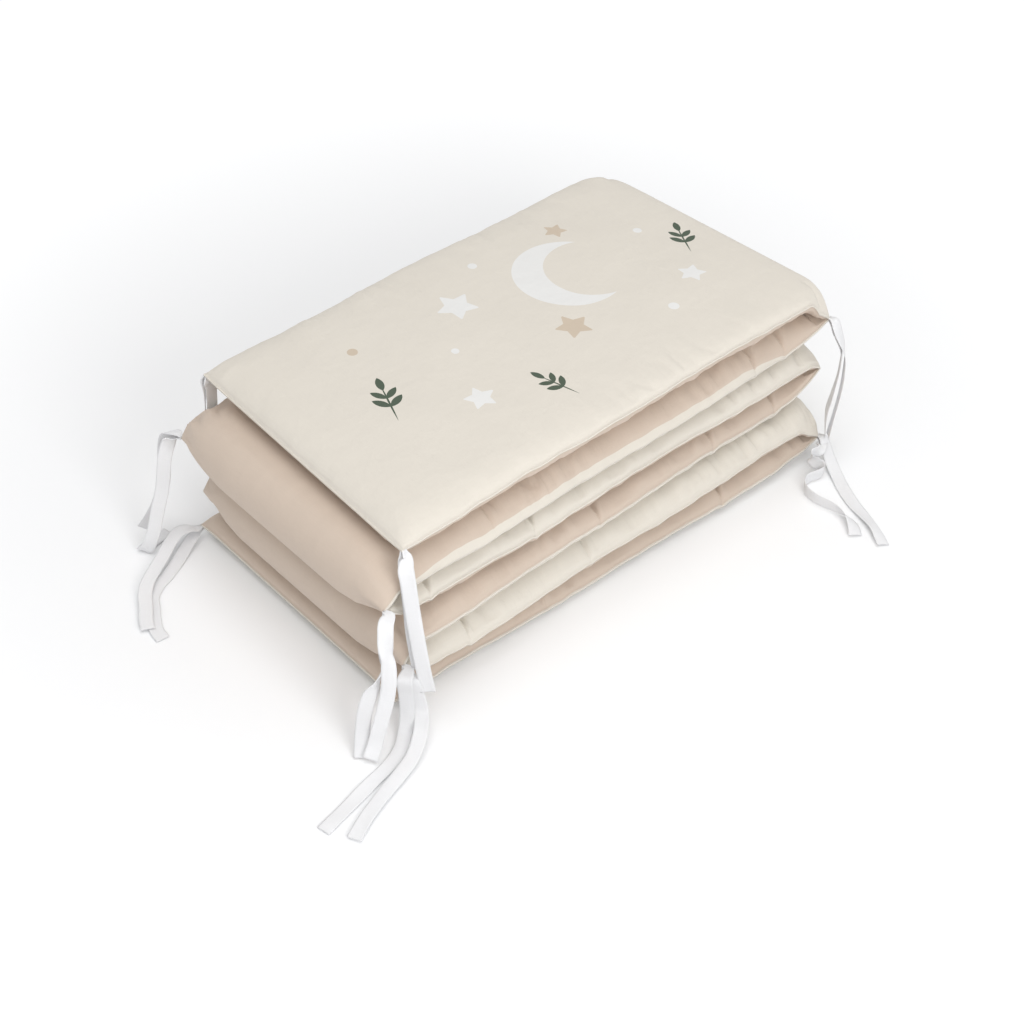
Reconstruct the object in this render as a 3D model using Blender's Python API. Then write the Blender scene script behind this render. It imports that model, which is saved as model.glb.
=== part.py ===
"""A crib bumper folded into a stack: one padded strip laid back and forth in six layers,
with cotton tie tapes sewn in pairs into its seam.

Metres, Z up. The origin is on the flat underside, in the middle of the stack. X runs along the
layers, Y across the strip from its near edge to its far edge. The tables and the functions that
work out places measure them from the stack's near left corner, and ORIGIN is the origin there."""
import math

import bmesh
import bpy
from mathutils import Vector

# --- driving dimensions ---
ORIGIN = Vector((0.29, 0.17, 0.0))
STRIP_WIDTH = 0.343
PAD_THICKNESS = 0.036
LAYER_PITCH = 0.0375
SEAM_THICKNESS = 0.003
EDGE_ROUND = 0.034  # how far in from a seam the pad reaches its full thickness
TURN_RADIUS = LAYER_PITCH / 2
TURN_EDGE_ROUND = 0.090  # the same at a turn, where the filling leaves the corners flat
TURN_BULGE = 0.55  # share of the half thickness that a turn's outer side stands out by
INNER_RADIUS = 0.003  # least radius left on the pinched side of a turn
TIP_REACH = 0.055  # how far in from the seam a turn is drawn to a point
TIP_ROOM = 0.8  # share of the height from a point's fold to its seam that the inner cloth fills
STEEPEST = 0.1  # least slope reckoned with when that height is measured along the cloth's normal
EAR_LENGTH = 0.070  # stretch before a turn over which its corners are pressed flat and lifted
EAR_SHARE = 0.6  # how much of a turn's flatness its layers have where they run into it
TOP_CROWN = 0.004  # how much the uppermost layer swells in its middle
EDGE_WAVE = 0.0016  # how far the seam wanders in and out between tucks
WAVES_PER_METRE = 23.0
TUCK_DEPTH = 0.42  # share of the thickness that a tuck takes up at the seam
TUCK_REACH = 0.045
TUCK_HALF_WIDTH = 0.009
TUCK_CLEARANCE = 0.0225  # to the nearest plain section
TAPE_WIDTH = 0.015
TAPE_THICKNESS = 0.001
TAPE_STEPS = 18
SEWN_GAP = 0.0006  # from the seam's edge to the tape that is sewn into it
PAIR_OFFSET = 0.0011  # of each tape of a pair from the seam's middle
PAIR_SPREAD = 0.0020  # how much further apart each is at the end of its straight start
STUB_LENGTH = 0.006  # how far a tape runs straight out of the seam
CORNER_INSET = 0.006  # from an end's corner to the middle of the tapes there
TURN_STEPS = 6
COMMON_STEP = 0.085  # spacing of the sections along a plain stretch

# The ends and turns of the strip, from the bottom of the stack to its top:
# place of the turn's centre along X, of the near edge along Y, how far the far edge lies
# further along X than the near edge, and how much the corners of the layer under the turn rise.
TURNS = [
    {"name": "lower_end", "x": -0.010, "y": 0.0035, "skew": 0.002, "lift": 0.0},
    {"name": "lower_right", "x": 0.579, "y": -0.009, "skew": 0.0, "lift": 0.005},
    {"name": "lower_left", "x": 0.014, "y": -0.0085, "skew": 0.0, "lift": 0.004},
    {"name": "middle_right", "x": 0.585, "y": 0.005, "skew": 0.0, "lift": 0.014},
    {"name": "upper_left", "x": 0.0, "y": -0.002, "skew": 0.001, "lift": 0.005},
    {"name": "upper_right", "x": 0.591, "y": 0.0065, "skew": -0.018, "lift": 0.008},
    {"name": "upper_end", "x": 0.008, "y": 0.002, "skew": 0.0135, "lift": 0.0},
]
LAYERS = len(TURNS) - 1

# How far each layer's seam hangs below the layer's middle at its left end, halfway and at its
# right end, from the bottom layer up
SEAM_DROOP = [
    {"left": 0.0050, "middle": 0.0045, "right": 0.0020},
    {"left": 0.0090, "middle": 0.0060, "right": 0.0030},
    {"left": 0.0035, "middle": 0.0005, "right": 0.0050},
    {"left": 0.0015, "middle": 0.0015, "right": 0.0055},
    {"left": 0.0065, "middle": 0.0085, "right": 0.0075},
    {"left": 0.0030, "middle": -0.0080, "right": -0.0085},
]

# Pinched tucks across the seam: layer counted from the bottom, place along X, and how strong
# it is at the near edge and at the far edge
TUCKS = [
    {"layer": 0, "x": 0.444, "near": 1.0, "far": 0.0},
    {"layer": 0, "x": 0.190, "near": 0.4, "far": 1.0},
    {"layer": 1, "x": 0.079, "near": 1.0, "far": 0.0},
    {"layer": 1, "x": 0.246, "near": 0.6, "far": 0.8},
    {"layer": 2, "x": 0.261, "near": 0.8, "far": 0.0},
    {"layer": 2, "x": 0.435, "near": 0.8, "far": 0.7},
    {"layer": 2, "x": 0.532, "near": 0.8, "far": 0.0},
    {"layer": 3, "x": 0.038, "near": 1.0, "far": 0.0},
    {"layer": 3, "x": 0.173, "near": 1.0, "far": 0.6},
    {"layer": 3, "x": 0.380, "near": 0.0, "far": 1.0},
    {"layer": 4, "x": 0.497, "near": 1.0, "far": 0.0},
    {"layer": 4, "x": 0.542, "near": 1.0, "far": 0.5},
    {"layer": 4, "x": 0.120, "near": 0.3, "far": 0.9},
]

# Distances from a seam at which the cross-section has its points, up to the full thickness
EDGE_POINTS = [0.0, 0.0015, 0.007, 0.017, EDGE_ROUND, 0.060]
MIDDLE_POINTS = [0.27, 0.5, 0.73]  # shares of the width

# How a tape leaves the seam, gathered narrow: share of the stub's length, drop, share of width
STUB_SHAPE = [(0.0, 0.0, 0.30), (0.45, 0.0002, 0.45), (1.0, 0.0012, 0.75)]

# Tie tapes, sewn in pairs into the seam of the named end or turn, on the near or the far edge.
# Of a pair, side 1 is the tape that bends down outside the other.
# A tape that leaves the corner of an end sideways says in which direction in plan.
# Each point has its place, then the direction of the tape's width: its heading in plan and
# its rise, both in degrees.
NEAR, FAR = 0.0, 1.0
TAPES = [
    {
        "name": "tape_upper_end_near_1", "turn": "upper_end", "edge": NEAR, "side": 1,
        "points": [
            (0.0120, -0.0100, 0.1955, -24, 0),
            (0.0065, -0.0132, 0.1840, -38, 0),
            (0.0015, -0.0160, 0.1690, -42, 0),
            (0.0002, -0.0190, 0.1520, -42, 0),
            (0.0007, -0.0235, 0.1200, -42, 0),
            (0.0010, -0.0300, 0.0850, -42, 0),
            (0.0040, -0.0350, 0.0600, -44, 0),
            (0.0090, -0.0375, 0.0400, -46, 0),
        ],
    },
    {
        "name": "tape_upper_end_near_2", "turn": "upper_end", "edge": NEAR, "side": -1,
        "points": [
            (0.0145, -0.0048, 0.1915, -10, 0),
            (0.0080, -0.0062, 0.1810, -22, 0),
            (0.0025, -0.0090, 0.1650, -28, 0),
            (-0.0008, -0.0118, 0.1450, -30, 0),
            (-0.0022, -0.0160, 0.1200, -30, 0),
            (-0.0022, -0.0210, 0.0980, -32, 0),
            (-0.0010, -0.0240, 0.0840, -34, 0),
        ],
    },
    {
        "name": "tape_upper_end_far_1", "turn": "upper_end", "edge": FAR, "side": 1,
        "points": [
            (0.0275, 0.3575, 0.1960, 18, 0),
            (0.0230, 0.3595, 0.1850, 40, 0),
            (0.0203, 0.3590, 0.1690, 48, 0),
            (0.0195, 0.3580, 0.1450, 49, 0),
            (0.0195, 0.3575, 0.1100, 50, 0),
            (0.0200, 0.3575, 0.0700, 46, 0),
            (0.0220, 0.3580, 0.0300, 40, 0),
        ],
    },
    {
        "name": "tape_upper_end_far_2", "turn": "upper_end", "edge": FAR, "side": -1,
        "points": [
            (0.0305, 0.3540, 0.1940, 0, 0),
            (0.0325, 0.3535, 0.1850, 4, 0),
            (0.0340, 0.3520, 0.1700, 8, 0),
            (0.0350, 0.3512, 0.1450, 10, 0),
            (0.0365, 0.3515, 0.1100, 12, 0),
            (0.0390, 0.3525, 0.0700, 8, 0),
            (0.0410, 0.3530, 0.0350, 6, 0),
        ],
    },
    {
        "name": "tape_upper_left_near_1", "turn": "upper_left", "edge": NEAR, "side": 1,
        "points": [
            (-0.0225, -0.0165, 0.1462, -20, 0),
            (-0.0280, -0.0205, 0.1390, -36, 0),
            (-0.0330, -0.0230, 0.1290, -20, 0),
            (-0.0355, -0.0250, 0.1190, 8, 0),
            (-0.0360, -0.0275, 0.1070, -26, 0),
            (-0.0395, -0.0315, 0.0815, -42, 0),
            (-0.0435, -0.0320, 0.0570, -42, 0),
            (-0.0510, -0.0310, 0.0340, -42, 0),
            (-0.0580, -0.0330, 0.0140, -42, 0),
            (-0.0660, -0.0400, 0.0040, -44, 0),
        ],
    },
    {
        "name": "tape_upper_left_near_2", "turn": "upper_left", "edge": NEAR, "side": -1,
        "points": [
            (-0.0210, -0.0145, 0.1370, -20, 0),
            (-0.0250, -0.0160, 0.1230, -30, 0),
            (-0.0300, -0.0165, 0.1080, 0, 0),
            (-0.0355, -0.0160, 0.0950, 35, 0),
            (-0.0430, -0.0145, 0.0810, 20, 0),
            (-0.0520, -0.0120, 0.0640, -25, 0),
            (-0.0600, -0.0110, 0.0450, -40, 0),
            (-0.0690, -0.0150, 0.0220, -42, 0),
            (-0.0780, -0.0230, 0.0040, -43, 0),
        ],
    },
    {
        "name": "tape_upper_left_far_1", "turn": "upper_left", "edge": FAR, "side": -1,
        "points": [
            (-0.0215, 0.3550, 0.1405, -12, 0),
            (-0.0260, 0.3570, 0.1310, -30, 0),
            (-0.0320, 0.3560, 0.1190, -40, 0),
            (-0.0362, 0.3548, 0.1050, -44, 0),
            (-0.0423, 0.3545, 0.0800, -42, 0),
            (-0.0526, 0.3545, 0.0530, -42, 0),
            (-0.0610, 0.3545, 0.0300, -44, 0),
            (-0.0690, 0.3580, 0.0100, -46, 0),
            (-0.0710, 0.3650, 0.0028, -64, 0),
            (-0.0590, 0.3700, 0.0016, -78, 0),
            (-0.0330, 0.3740, 0.0016, -82, 0),
        ],
    },
    {
        "name": "tape_upper_left_far_2", "turn": "upper_left", "edge": FAR, "side": 1,
        "points": [
            (-0.0195, 0.3615, 0.1430, -16, 0),
            (-0.0230, 0.3665, 0.1290, -38, 0),
            (-0.0270, 0.3680, 0.1050, -46, 0),
            (-0.0320, 0.3690, 0.0760, -46, 0),
            (-0.0390, 0.3710, 0.0520, -46, 0),
            (-0.0480, 0.3770, 0.0300, -44, 0),
            (-0.0560, 0.3850, 0.0120, -44, 0),
        ],
    },
    {
        "name": "tape_lower_end_far_1", "turn": "lower_end", "edge": FAR, "side": 1, "leaves": 180.0,
        "points": [
            (-0.0220, 0.3465, 0.0185, 100, 0),
            (-0.0330, 0.3490, 0.0190, 106, 0),
            (-0.0460, 0.3460, 0.0150, 116, 2),
            (-0.0620, 0.3370, 0.0110, 122, 4),
            (-0.0800, 0.3260, 0.0095, 128, 6),
            (-0.0980, 0.3140, 0.0085, 138, 8),
            (-0.1100, 0.3010, 0.0070, 152, 8),
            (-0.1180, 0.2870, 0.0055, 158, 5),
            (-0.1270, 0.2740, 0.0045, 150, 0),
            (-0.1340, 0.2590, 0.0040, 158, 0),
        ],
    },
    {
        "name": "tape_lower_end_far_2", "turn": "lower_end", "edge": FAR, "side": -1, "leaves": 180.0,
        "points": [
            (-0.0230, 0.3420, 0.0075, 98, 0),
            (-0.0340, 0.3370, 0.0050, 112, 0),
            (-0.0450, 0.3310, 0.0030, 122, 0),
            (-0.0590, 0.3230, 0.0016, 125, 0),
            (-0.0750, 0.3150, 0.0016, 126, 0),
            (-0.0910, 0.3080, 0.0016, 130, 0),
            (-0.1040, 0.2970, 0.0016, 140, 0),
            (-0.1120, 0.2830, 0.0016, 152, 0),
            (-0.1200, 0.2690, 0.0016, 150, 0),
            (-0.1270, 0.2540, 0.0016, 160, 0),
            (-0.1290, 0.2390, 0.0016, 172, 0),
        ],
    },
    {
        "name": "tape_lower_left_near_1", "turn": "lower_left", "edge": NEAR, "side": -1,
        "points": [
            (0.0010, -0.0215, 0.0600, -30, 0),
            (0.0035, -0.0235, 0.0480, -40, 0),
            (0.0030, -0.0250, 0.0370, -42, 0),
            (-0.0030, -0.0290, 0.0260, -42, 0),
            (-0.0130, -0.0370, 0.0165, -44, 0),
            (-0.0310, -0.0510, 0.0090, -50, 0),
            (-0.0521, -0.0654, 0.0060, -58, 0),
            (-0.0738, -0.0740, 0.0046, -66, 0),
            (-0.0938, -0.0830, 0.0042, -64, 0),
            (-0.1135, -0.0940, 0.0040, -58, 0),
            (-0.1321, -0.1050, 0.0036, -56, 0),
        ],
    },
    {
        "name": "tape_lower_left_near_2", "turn": "lower_left", "edge": NEAR, "side": 1,
        "points": [
            (-0.0110, -0.0225, 0.0640, -40, 0),
            (-0.0150, -0.0230, 0.0520, -44, 0),
            (-0.0175, -0.0225, 0.0380, -44, 0),
            (-0.0210, -0.0235, 0.0210, -44, 0),
            (-0.0275, -0.0285, 0.0085, -44, 0),
            (-0.0380, -0.0375, 0.0028, -48, 0),
            (-0.0540, -0.0490, 0.0016, -56, 0),
            (-0.0779, -0.0608, 0.0016, -66, 0),
            (-0.1044, -0.0700, 0.0016, -72, 0),
            (-0.1303, -0.0755, 0.0016, -78, 0),
            (-0.1530, -0.0790, 0.0016, -80, 0),
        ],
    },
    {
        "name": "tape_upper_right_near_1", "turn": "upper_right", "edge": NEAR, "side": -1,
        "points": [
            (0.6110, -0.0055, 0.1810, 200, 0),
            (0.6145, -0.0075, 0.1670, 220, 0),
            (0.6165, -0.0095, 0.1480, 227, 0),
            (0.6110, -0.0120, 0.1270, 226, 0),
            (0.6040, -0.0130, 0.1060, 226, 0),
            (0.6005, -0.0120, 0.0820, 226, 0),
            (0.6025, -0.0090, 0.0600, 226, 0),
            (0.6080, -0.0055, 0.0380, 225, 0),
        ],
    },
    {
        "name": "tape_upper_right_near_2", "turn": "upper_right", "edge": NEAR, "side": 1,
        "points": [
            (0.6130, -0.0085, 0.1895, 190, 0),
            (0.6180, -0.0130, 0.1800, 208, 0),
            (0.6220, -0.0175, 0.1650, 224, 0),
            (0.6225, -0.0210, 0.1500, 226, 0),
            (0.6215, -0.0240, 0.1310, 226, 0),
            (0.6190, -0.0260, 0.1050, 226, 0),
            (0.6140, -0.0240, 0.0780, 226, 0),
            (0.6085, -0.0205, 0.0520, 226, 0),
        ],
    },
    {
        "name": "tape_upper_right_far_1", "turn": "upper_right", "edge": FAR, "side": -1,
        "points": [
            (0.5885, 0.3615, 0.1800, 185, 0),
            (0.5870, 0.3615, 0.1650, 186, 0),
            (0.5860, 0.3610, 0.1400, 188, 0),
            (0.5860, 0.3600, 0.1000, 188, 0),
            (0.5850, 0.3600, 0.0600, 188, 0),
            (0.5840, 0.3610, 0.0260, 188, 0),
        ],
    },
    {
        "name": "tape_upper_right_far_2", "turn": "upper_right", "edge": FAR, "side": 1,
        "points": [
            (0.5945, 0.3635, 0.1900, 188, 0),
            (0.5985, 0.3675, 0.1800, 200, 0),
            (0.6020, 0.3695, 0.1650, 206, 0),
            (0.6050, 0.3700, 0.1400, 206, 0),
            (0.6060, 0.3690, 0.1000, 206, 0),
            (0.6050, 0.3690, 0.0600, 206, 0),
            (0.6040, 0.3700, 0.0200, 206, 0),
        ],
    },
    {
        "name": "tape_lower_right_near_1", "turn": "lower_right", "edge": NEAR, "side": -1,
        "points": [
            (0.5890, -0.0200, 0.0300, 180, 25),
            (0.5810, -0.0235, 0.0300, 180, 70),
            (0.5730, -0.0220, 0.0270, 180, 88),
            (0.5690, -0.0245, 0.0230, 180, 88),
            (0.5720, -0.0300, 0.0170, 180, 88),
            (0.5765, -0.0350, 0.0128, 180, 88),
            (0.5740, -0.0400, 0.0100, 180, 88),
            (0.5650, -0.0395, 0.0090, 180, 88),
            (0.5540, -0.0365, 0.0087, 180, 88),
            (0.5430, -0.0400, 0.0086, 180, 88),
            (0.5355, -0.0500, 0.0086, 180, 88),
            (0.5338, -0.0660, 0.0086, 180, 84),
            (0.5374, -0.0858, 0.0086, 175, 76),
            (0.5390, -0.1040, 0.0082, 170, 54),
            (0.5350, -0.1186, 0.0056, 165, 24),
            (0.5265, -0.1300, 0.0030, 150, 6),
        ],
    },
    {
        "name": "tape_lower_right_near_2", "turn": "lower_right", "edge": NEAR, "side": 1,
        "points": [
            (0.6005, -0.0225, 0.0362, 184, 0),
            (0.6050, -0.0280, 0.0280, 192, 0),
            (0.6085, -0.0330, 0.0170, 188, 0),
            (0.6080, -0.0410, 0.0075, 176, 0),
            (0.5990, -0.0560, 0.0028, 158, 0),
            (0.5840, -0.0740, 0.0016, 148, 0),
            (0.5690, -0.0950, 0.0016, 150, 0),
            (0.5570, -0.1180, 0.0024, 154, 4),
            (0.5500, -0.1380, 0.0040, 158, 14),
            (0.5380, -0.1600, 0.0026, 150, 6),
        ],
    },
    {
        "name": "tape_lower_right_far_1", "turn": "lower_right", "edge": FAR, "side": -1,
        "points": [
            (0.5950, 0.3480, 0.0290, 182, 0),
            (0.5895, 0.3550, 0.0200, 184, 0),
            (0.5855, 0.3620, 0.0100, 182, 0),
            (0.5835, 0.3710, 0.0030, 178, 0),
            (0.5815, 0.3820, 0.0016, 176, 0),
            (0.5780, 0.3980, 0.0016, 172, 0),
            (0.5735, 0.4190, 0.0016, 170, 0),
            (0.5720, 0.4420, 0.0016, 176, 0),
        ],
    },
    {
        "name": "tape_lower_right_far_2", "turn": "lower_right", "edge": FAR, "side": 1,
        "points": [
            (0.6010, 0.3480, 0.0375, 188, 0),
            (0.6080, 0.3540, 0.0300, 192, 0),
            (0.6130, 0.3600, 0.0180, 184, 0),
            (0.6175, 0.3690, 0.0065, 172, 0),
            (0.6230, 0.3800, 0.0020, 160, 0),
            (0.6315, 0.3970, 0.0016, 154, 0),
            (0.6420, 0.4160, 0.0016, 154, 0),
            (0.6500, 0.4380, 0.0016, 160, 0),
        ],
    },
]

# name: colour, roughness, sheen
FINISHES = {
    "cotton_cream": ((0.80, 0.73, 0.64), 0.9, 0.3),
    "tape_white": ((0.88, 0.87, 0.86), 0.8, 0.2),
}


def blend(start, end, share):
    """A value that leaves start and reaches end with no slope at either."""
    eased = share * share * (3 - 2 * share)
    return start + (end - start) * eased


def rounded(distance, reach):
    """Height of a quarter round, from 0 at distance 0 to 1 at reach and past it."""
    left = 1 - min(max(distance / reach, 0.0), 1.0)
    return math.sqrt(1 - left * left)


def near_start(distance, reach):
    """1 at distance 0, falling smoothly to 0 at reach."""
    return max(0.0, 1 - distance / reach) ** 2


def layer_height(layer):
    return PAD_THICKNESS / 2 + layer * LAYER_PITCH


def heads_right(layer):
    """Whether the strip runs to the right along a layer, on its way from the lower end."""
    return layer % 2 == 0


def stretch_places(layer):
    """Places along X of a layer's sections between its two ends or turns."""
    left, right = sorted((TURNS[layer]["x"], TURNS[layer + 1]["x"]))
    count = round((right - left) / COMMON_STEP)
    places = {left + (right - left) * step / count for step in range(1, count)}
    for tuck in TUCKS:
        if tuck["layer"] == layer:
            places = {x for x in places if abs(x - tuck["x"]) > TUCK_CLEARANCE}
            places.update((tuck["x"] - TUCK_HALF_WIDTH, tuck["x"], tuck["x"] + TUCK_HALF_WIDTH))
    places.update((left, right))
    if layer in (0, LAYERS - 1):
        places.update(left + distance for distance in EDGE_POINTS)
    return sorted(places, reverse=not heads_right(layer))


def seam_droop(layer, x):
    """How far the seam hangs below the middle of a layer at a place along it."""
    left, right = sorted((TURNS[layer]["x"], TURNS[layer + 1]["x"]))
    share = (x - left) / (right - left)
    droop = SEAM_DROOP[layer]
    if share < 0.5:
        return blend(droop["left"], droop["middle"], 2 * share)
    return blend(droop["middle"], droop["right"], 2 * share - 1)


def strip_stations():
    """Sections of the strip from its lower end to its upper end."""
    stations = []
    for layer in range(LAYERS):
        start, end = TURNS[layer], TURNS[layer + 1]
        facing = -1 if heads_right(layer) else 1
        for x in stretch_places(layer):
            share = (x - start["x"]) / (end["x"] - start["x"])
            from_start, to_end = abs(x - start["x"]), abs(x - end["x"])
            after_turn = near_start(from_start, EAR_LENGTH) if layer > 0 else 0.0
            before_turn = near_start(to_end, EAR_LENGTH) if layer < LAYERS - 1 else 0.0
            end_gap = 1.0
            if layer == 0:
                end_gap = from_start
            elif layer == LAYERS - 1:
                end_gap = to_end
            stations.append({
                "x": x,
                "z": layer_height(layer),
                "normal": (0.0, facing),
                "y": blend(start["y"], end["y"], share),
                "skew": blend(start["skew"], end["skew"], share),
                "droop": seam_droop(layer, x) - end["lift"] * before_turn,
                "end_gap": end_gap,
                "flatness": EAR_SHARE * max(before_turn, after_turn),
                "waviness": min(from_start, to_end, EAR_LENGTH) / EAR_LENGTH,
                "layer": layer,
                "inner": 0,
                "tip_drop": 0.0,
                "tip_room": 0.0,
            })
        if layer < LAYERS - 1:
            stations.extend(turn_stations(layer))
    return stations


def turn_stations(layer):
    """Sections round the turn from a layer to the one above it. At the seams the turn is drawn
    to a point halfway between the two seams that run into it."""
    turn = TURNS[layer + 1]
    outward = 1 if heads_right(layer) else -1
    droop_under = seam_droop(layer, turn["x"]) - turn["lift"]
    droop_over = seam_droop(layer + 1, turn["x"])
    seam_under = layer_height(layer) - droop_under
    seam_over = layer_height(layer + 1) - droop_over
    tip = (seam_under + seam_over) / 2
    stations = []
    for step in range(1, TURN_STEPS):
        angle = math.pi * step / TURN_STEPS
        outness, upness = math.sin(angle), -math.cos(angle)
        round_height = layer_height(layer + 0.5) + TURN_RADIUS * upness
        droop = blend(droop_under, droop_over, step / TURN_STEPS)
        pointed = seam_under + (tip - seam_under) * outness
        if upness > 0:
            pointed = seam_over + (tip - seam_over) * outness ** 2
        stations.append({
            "x": turn["x"] + outward * TURN_RADIUS * outness,
            "z": round_height,
            "normal": (outness, upness * outward),
            "y": turn["y"],
            "skew": turn["skew"],
            "droop": droop,
            "end_gap": 1.0,
            "flatness": EAR_SHARE + (1 - EAR_SHARE) * outness,
            "waviness": 0.0,
            "layer": layer + step / TURN_STEPS,
            "inner": -outward,
            "tip_drop": round_height - droop - pointed,
            "tip_room": TIP_ROOM * abs(pointed - tip) / max(abs(upness), STEEPEST),
        })
    return stations


def cross_distances():
    """Distances from the near edge of the points across one face of the strip."""
    near = list(EDGE_POINTS)
    middle = [STRIP_WIDTH * share for share in MIDDLE_POINTS]
    far = [STRIP_WIDTH - distance for distance in reversed(EDGE_POINTS)]
    return near + middle + far


def tuck_pinch(station, across):
    """Share of the thickness taken up by the tucks at a point."""
    pinch = 0.0
    for tuck in TUCKS:
        if tuck["layer"] != station["layer"]:
            continue
        closeness = max(0.0, 1 - abs(station["x"] - tuck["x"]) / TUCK_HALF_WIDTH)
        for side, edge_distance in (("near", across), ("far", STRIP_WIDTH - across)):
            reach = max(0.0, 1 - edge_distance / TUCK_REACH)
            pinch = max(pinch, TUCK_DEPTH * tuck[side] * closeness * reach)
    return pinch


def strip_point(station, across, side):
    """Place of a point of the strip: side is 1 on the front cloth, -1 on the back, 0 between."""
    edge_distance = min(across, STRIP_WIDTH - across)
    reach = EDGE_ROUND + (TURN_EDGE_ROUND - EDGE_ROUND) * station["flatness"]
    fullness = rounded(edge_distance, reach) * rounded(station["end_gap"], EDGE_ROUND)
    fullness *= 1 - tuck_pinch(station, across)
    half = SEAM_THICKNESS / 2 + (PAD_THICKNESS - SEAM_THICKNESS) / 2 * fullness
    sideways = station["normal"][0]
    pointedness = near_start(edge_distance, TIP_REACH)
    if side == station["inner"]:
        room = blend(TURN_RADIUS - INNER_RADIUS, station["tip_room"], pointedness)
        half = min(half, room)
    elif station["inner"]:
        sideways *= TURN_BULGE
    offset = side * half
    height = station["z"] + station["normal"][1] * offset
    height -= station["droop"] * near_start(edge_distance, EDGE_ROUND)
    height -= station["tip_drop"] * pointedness
    if station["layer"] == LAYERS - 1 and side == 1:
        from_turn = TURNS[LAYERS - 1]["x"] - station["x"]
        inward = min(edge_distance, station["end_gap"], from_turn) / (STRIP_WIDTH / 2)
        height += TOP_CROWN * fullness * rounded(inward, 1.0)
    wander = EDGE_WAVE * station["waviness"] * near_start(edge_distance, EDGE_ROUND)
    wander *= math.sin(WAVES_PER_METRE * station["x"] + 2.1 * station["layer"])
    share = across / STRIP_WIDTH
    return Vector((
        station["x"] + sideways * offset + station["skew"] * share,
        station["y"] + across + (wander if share < 0.5 else -wander),
        max(height, 0.0),
    ))


def seam_place(turn_name, edge):
    """Place of the seam at an end's corner or at the tip of a turn."""
    names = [turn["name"] for turn in TURNS]
    index = names.index(turn_name)
    if index == 0:
        station = strip_stations()[0]
    elif index == LAYERS:
        station = strip_stations()[-1]
    else:
        station = turn_stations(index - 1)[TURN_STEPS // 2 - 1]
    return strip_point(station, edge * STRIP_WIDTH, 0)


def laid_sheet(name, columns, rows, place, finish):
    """A closed body: a flat sheet of columns by rows points with two faces, each point then
    moved to place(column, row, side)."""
    sheet = bmesh.new()
    bmesh.ops.create_grid(sheet, x_segments=columns - 1, y_segments=rows - 1, size=0.5)
    bmesh.ops.solidify(sheet, geom=sheet.faces[:], thickness=0.1)
    for vert in sheet.verts:
        column = round((vert.co.x + 0.5) * (columns - 1))
        row = round((vert.co.y + 0.5) * (rows - 1))
        side = 1 if vert.co.z > -0.05 else -1
        vert.co = place(column, row, side) - ORIGIN
    if sheet.calc_volume(signed=True) < 0:
        bmesh.ops.reverse_faces(sheet, faces=sheet.faces[:])
    mesh = bpy.data.meshes.new(name)
    sheet.to_mesh(mesh)
    sheet.free()
    mesh.shade_smooth()
    mesh.materials.append(finish)
    body = bpy.data.objects.new(name, mesh)
    part_collection.objects.link(body)
    return body


def padded_strip():
    """The filled strip, from its lower end through five turns to its upper end."""
    stations = strip_stations()
    distances = cross_distances()
    laid_sheet(
        "padded_strip",
        len(stations),
        len(distances),
        lambda column, row, side: strip_point(stations[column], distances[row], side),
        finishes["cotton_cream"],
    )


def smooth_rows(rows, steps):
    """Rows of values on a smooth curve through a table's rows, steps to each stretch between
    them. The first three values of a row are its place, and distances set how fast all vary."""
    knots = [0.0]
    for before, after in zip(rows, rows[1:]):
        knots.append(knots[-1] + math.dist(before[:3], after[:3]))
    slopes = []
    for index in range(len(rows)):
        low, high = max(index - 1, 0), min(index + 1, len(rows) - 1)
        reach = knots[high] - knots[low]
        slopes.append([(b - a) / reach for a, b in zip(rows[low], rows[high])])
    samples = []
    for index in range(len(rows) - 1):
        length = knots[index + 1] - knots[index]
        for step in range(steps):
            t = step / steps
            weights = (1 - 3 * t * t + 2 * t ** 3, (t - 2 * t * t + t ** 3) * length,
                       3 * t * t - 2 * t ** 3, (t ** 3 - t * t) * length)
            parts = zip(rows[index], slopes[index], rows[index + 1], slopes[index + 1])
            samples.append([sum(w * value for w, value in zip(weights, values)) for values in parts])
    return samples + [list(rows[-1])]


def width_direction(heading, rise, along):
    """Unit vector across a tape, square to its run."""
    level = math.cos(math.radians(rise))
    across = Vector((
        level * math.cos(math.radians(heading)),
        level * math.sin(math.radians(heading)),
        math.sin(math.radians(rise)),
    ))
    across -= along * across.dot(along)
    return across.normalized()


def stub_rows(tape):
    """A tape's first rows, straight out of the seam, with its width level."""
    leaving = tape.get("leaves", 90.0 if tape["edge"] == FAR else -90.0)
    heading = leaving - 90.0 if leaving > 0 else leaving + 90.0
    if tape["turn"].endswith("right"):
        heading += 180.0
    outward = Vector((math.cos(math.radians(leaving)), math.sin(math.radians(leaving)), 0.0))
    root = seam_place(tape["turn"], tape["edge"])
    if tape["turn"].endswith("end"):
        corner_to_middle = 1 if tape["edge"] == NEAR else -1
        root += CORNER_INSET * Vector((abs(outward.y), abs(outward.x) * corner_to_middle, 0.0))
    rows = []
    for share, drop, width in STUB_SHAPE:
        lift = tape["side"] * (PAIR_OFFSET + PAIR_SPREAD * share) - drop
        place = root + outward * (SEWN_GAP + STUB_LENGTH * share) + Vector((0.0, 0.0, lift))
        rows.append((*place, heading, 0.0, width))
    return rows


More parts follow.
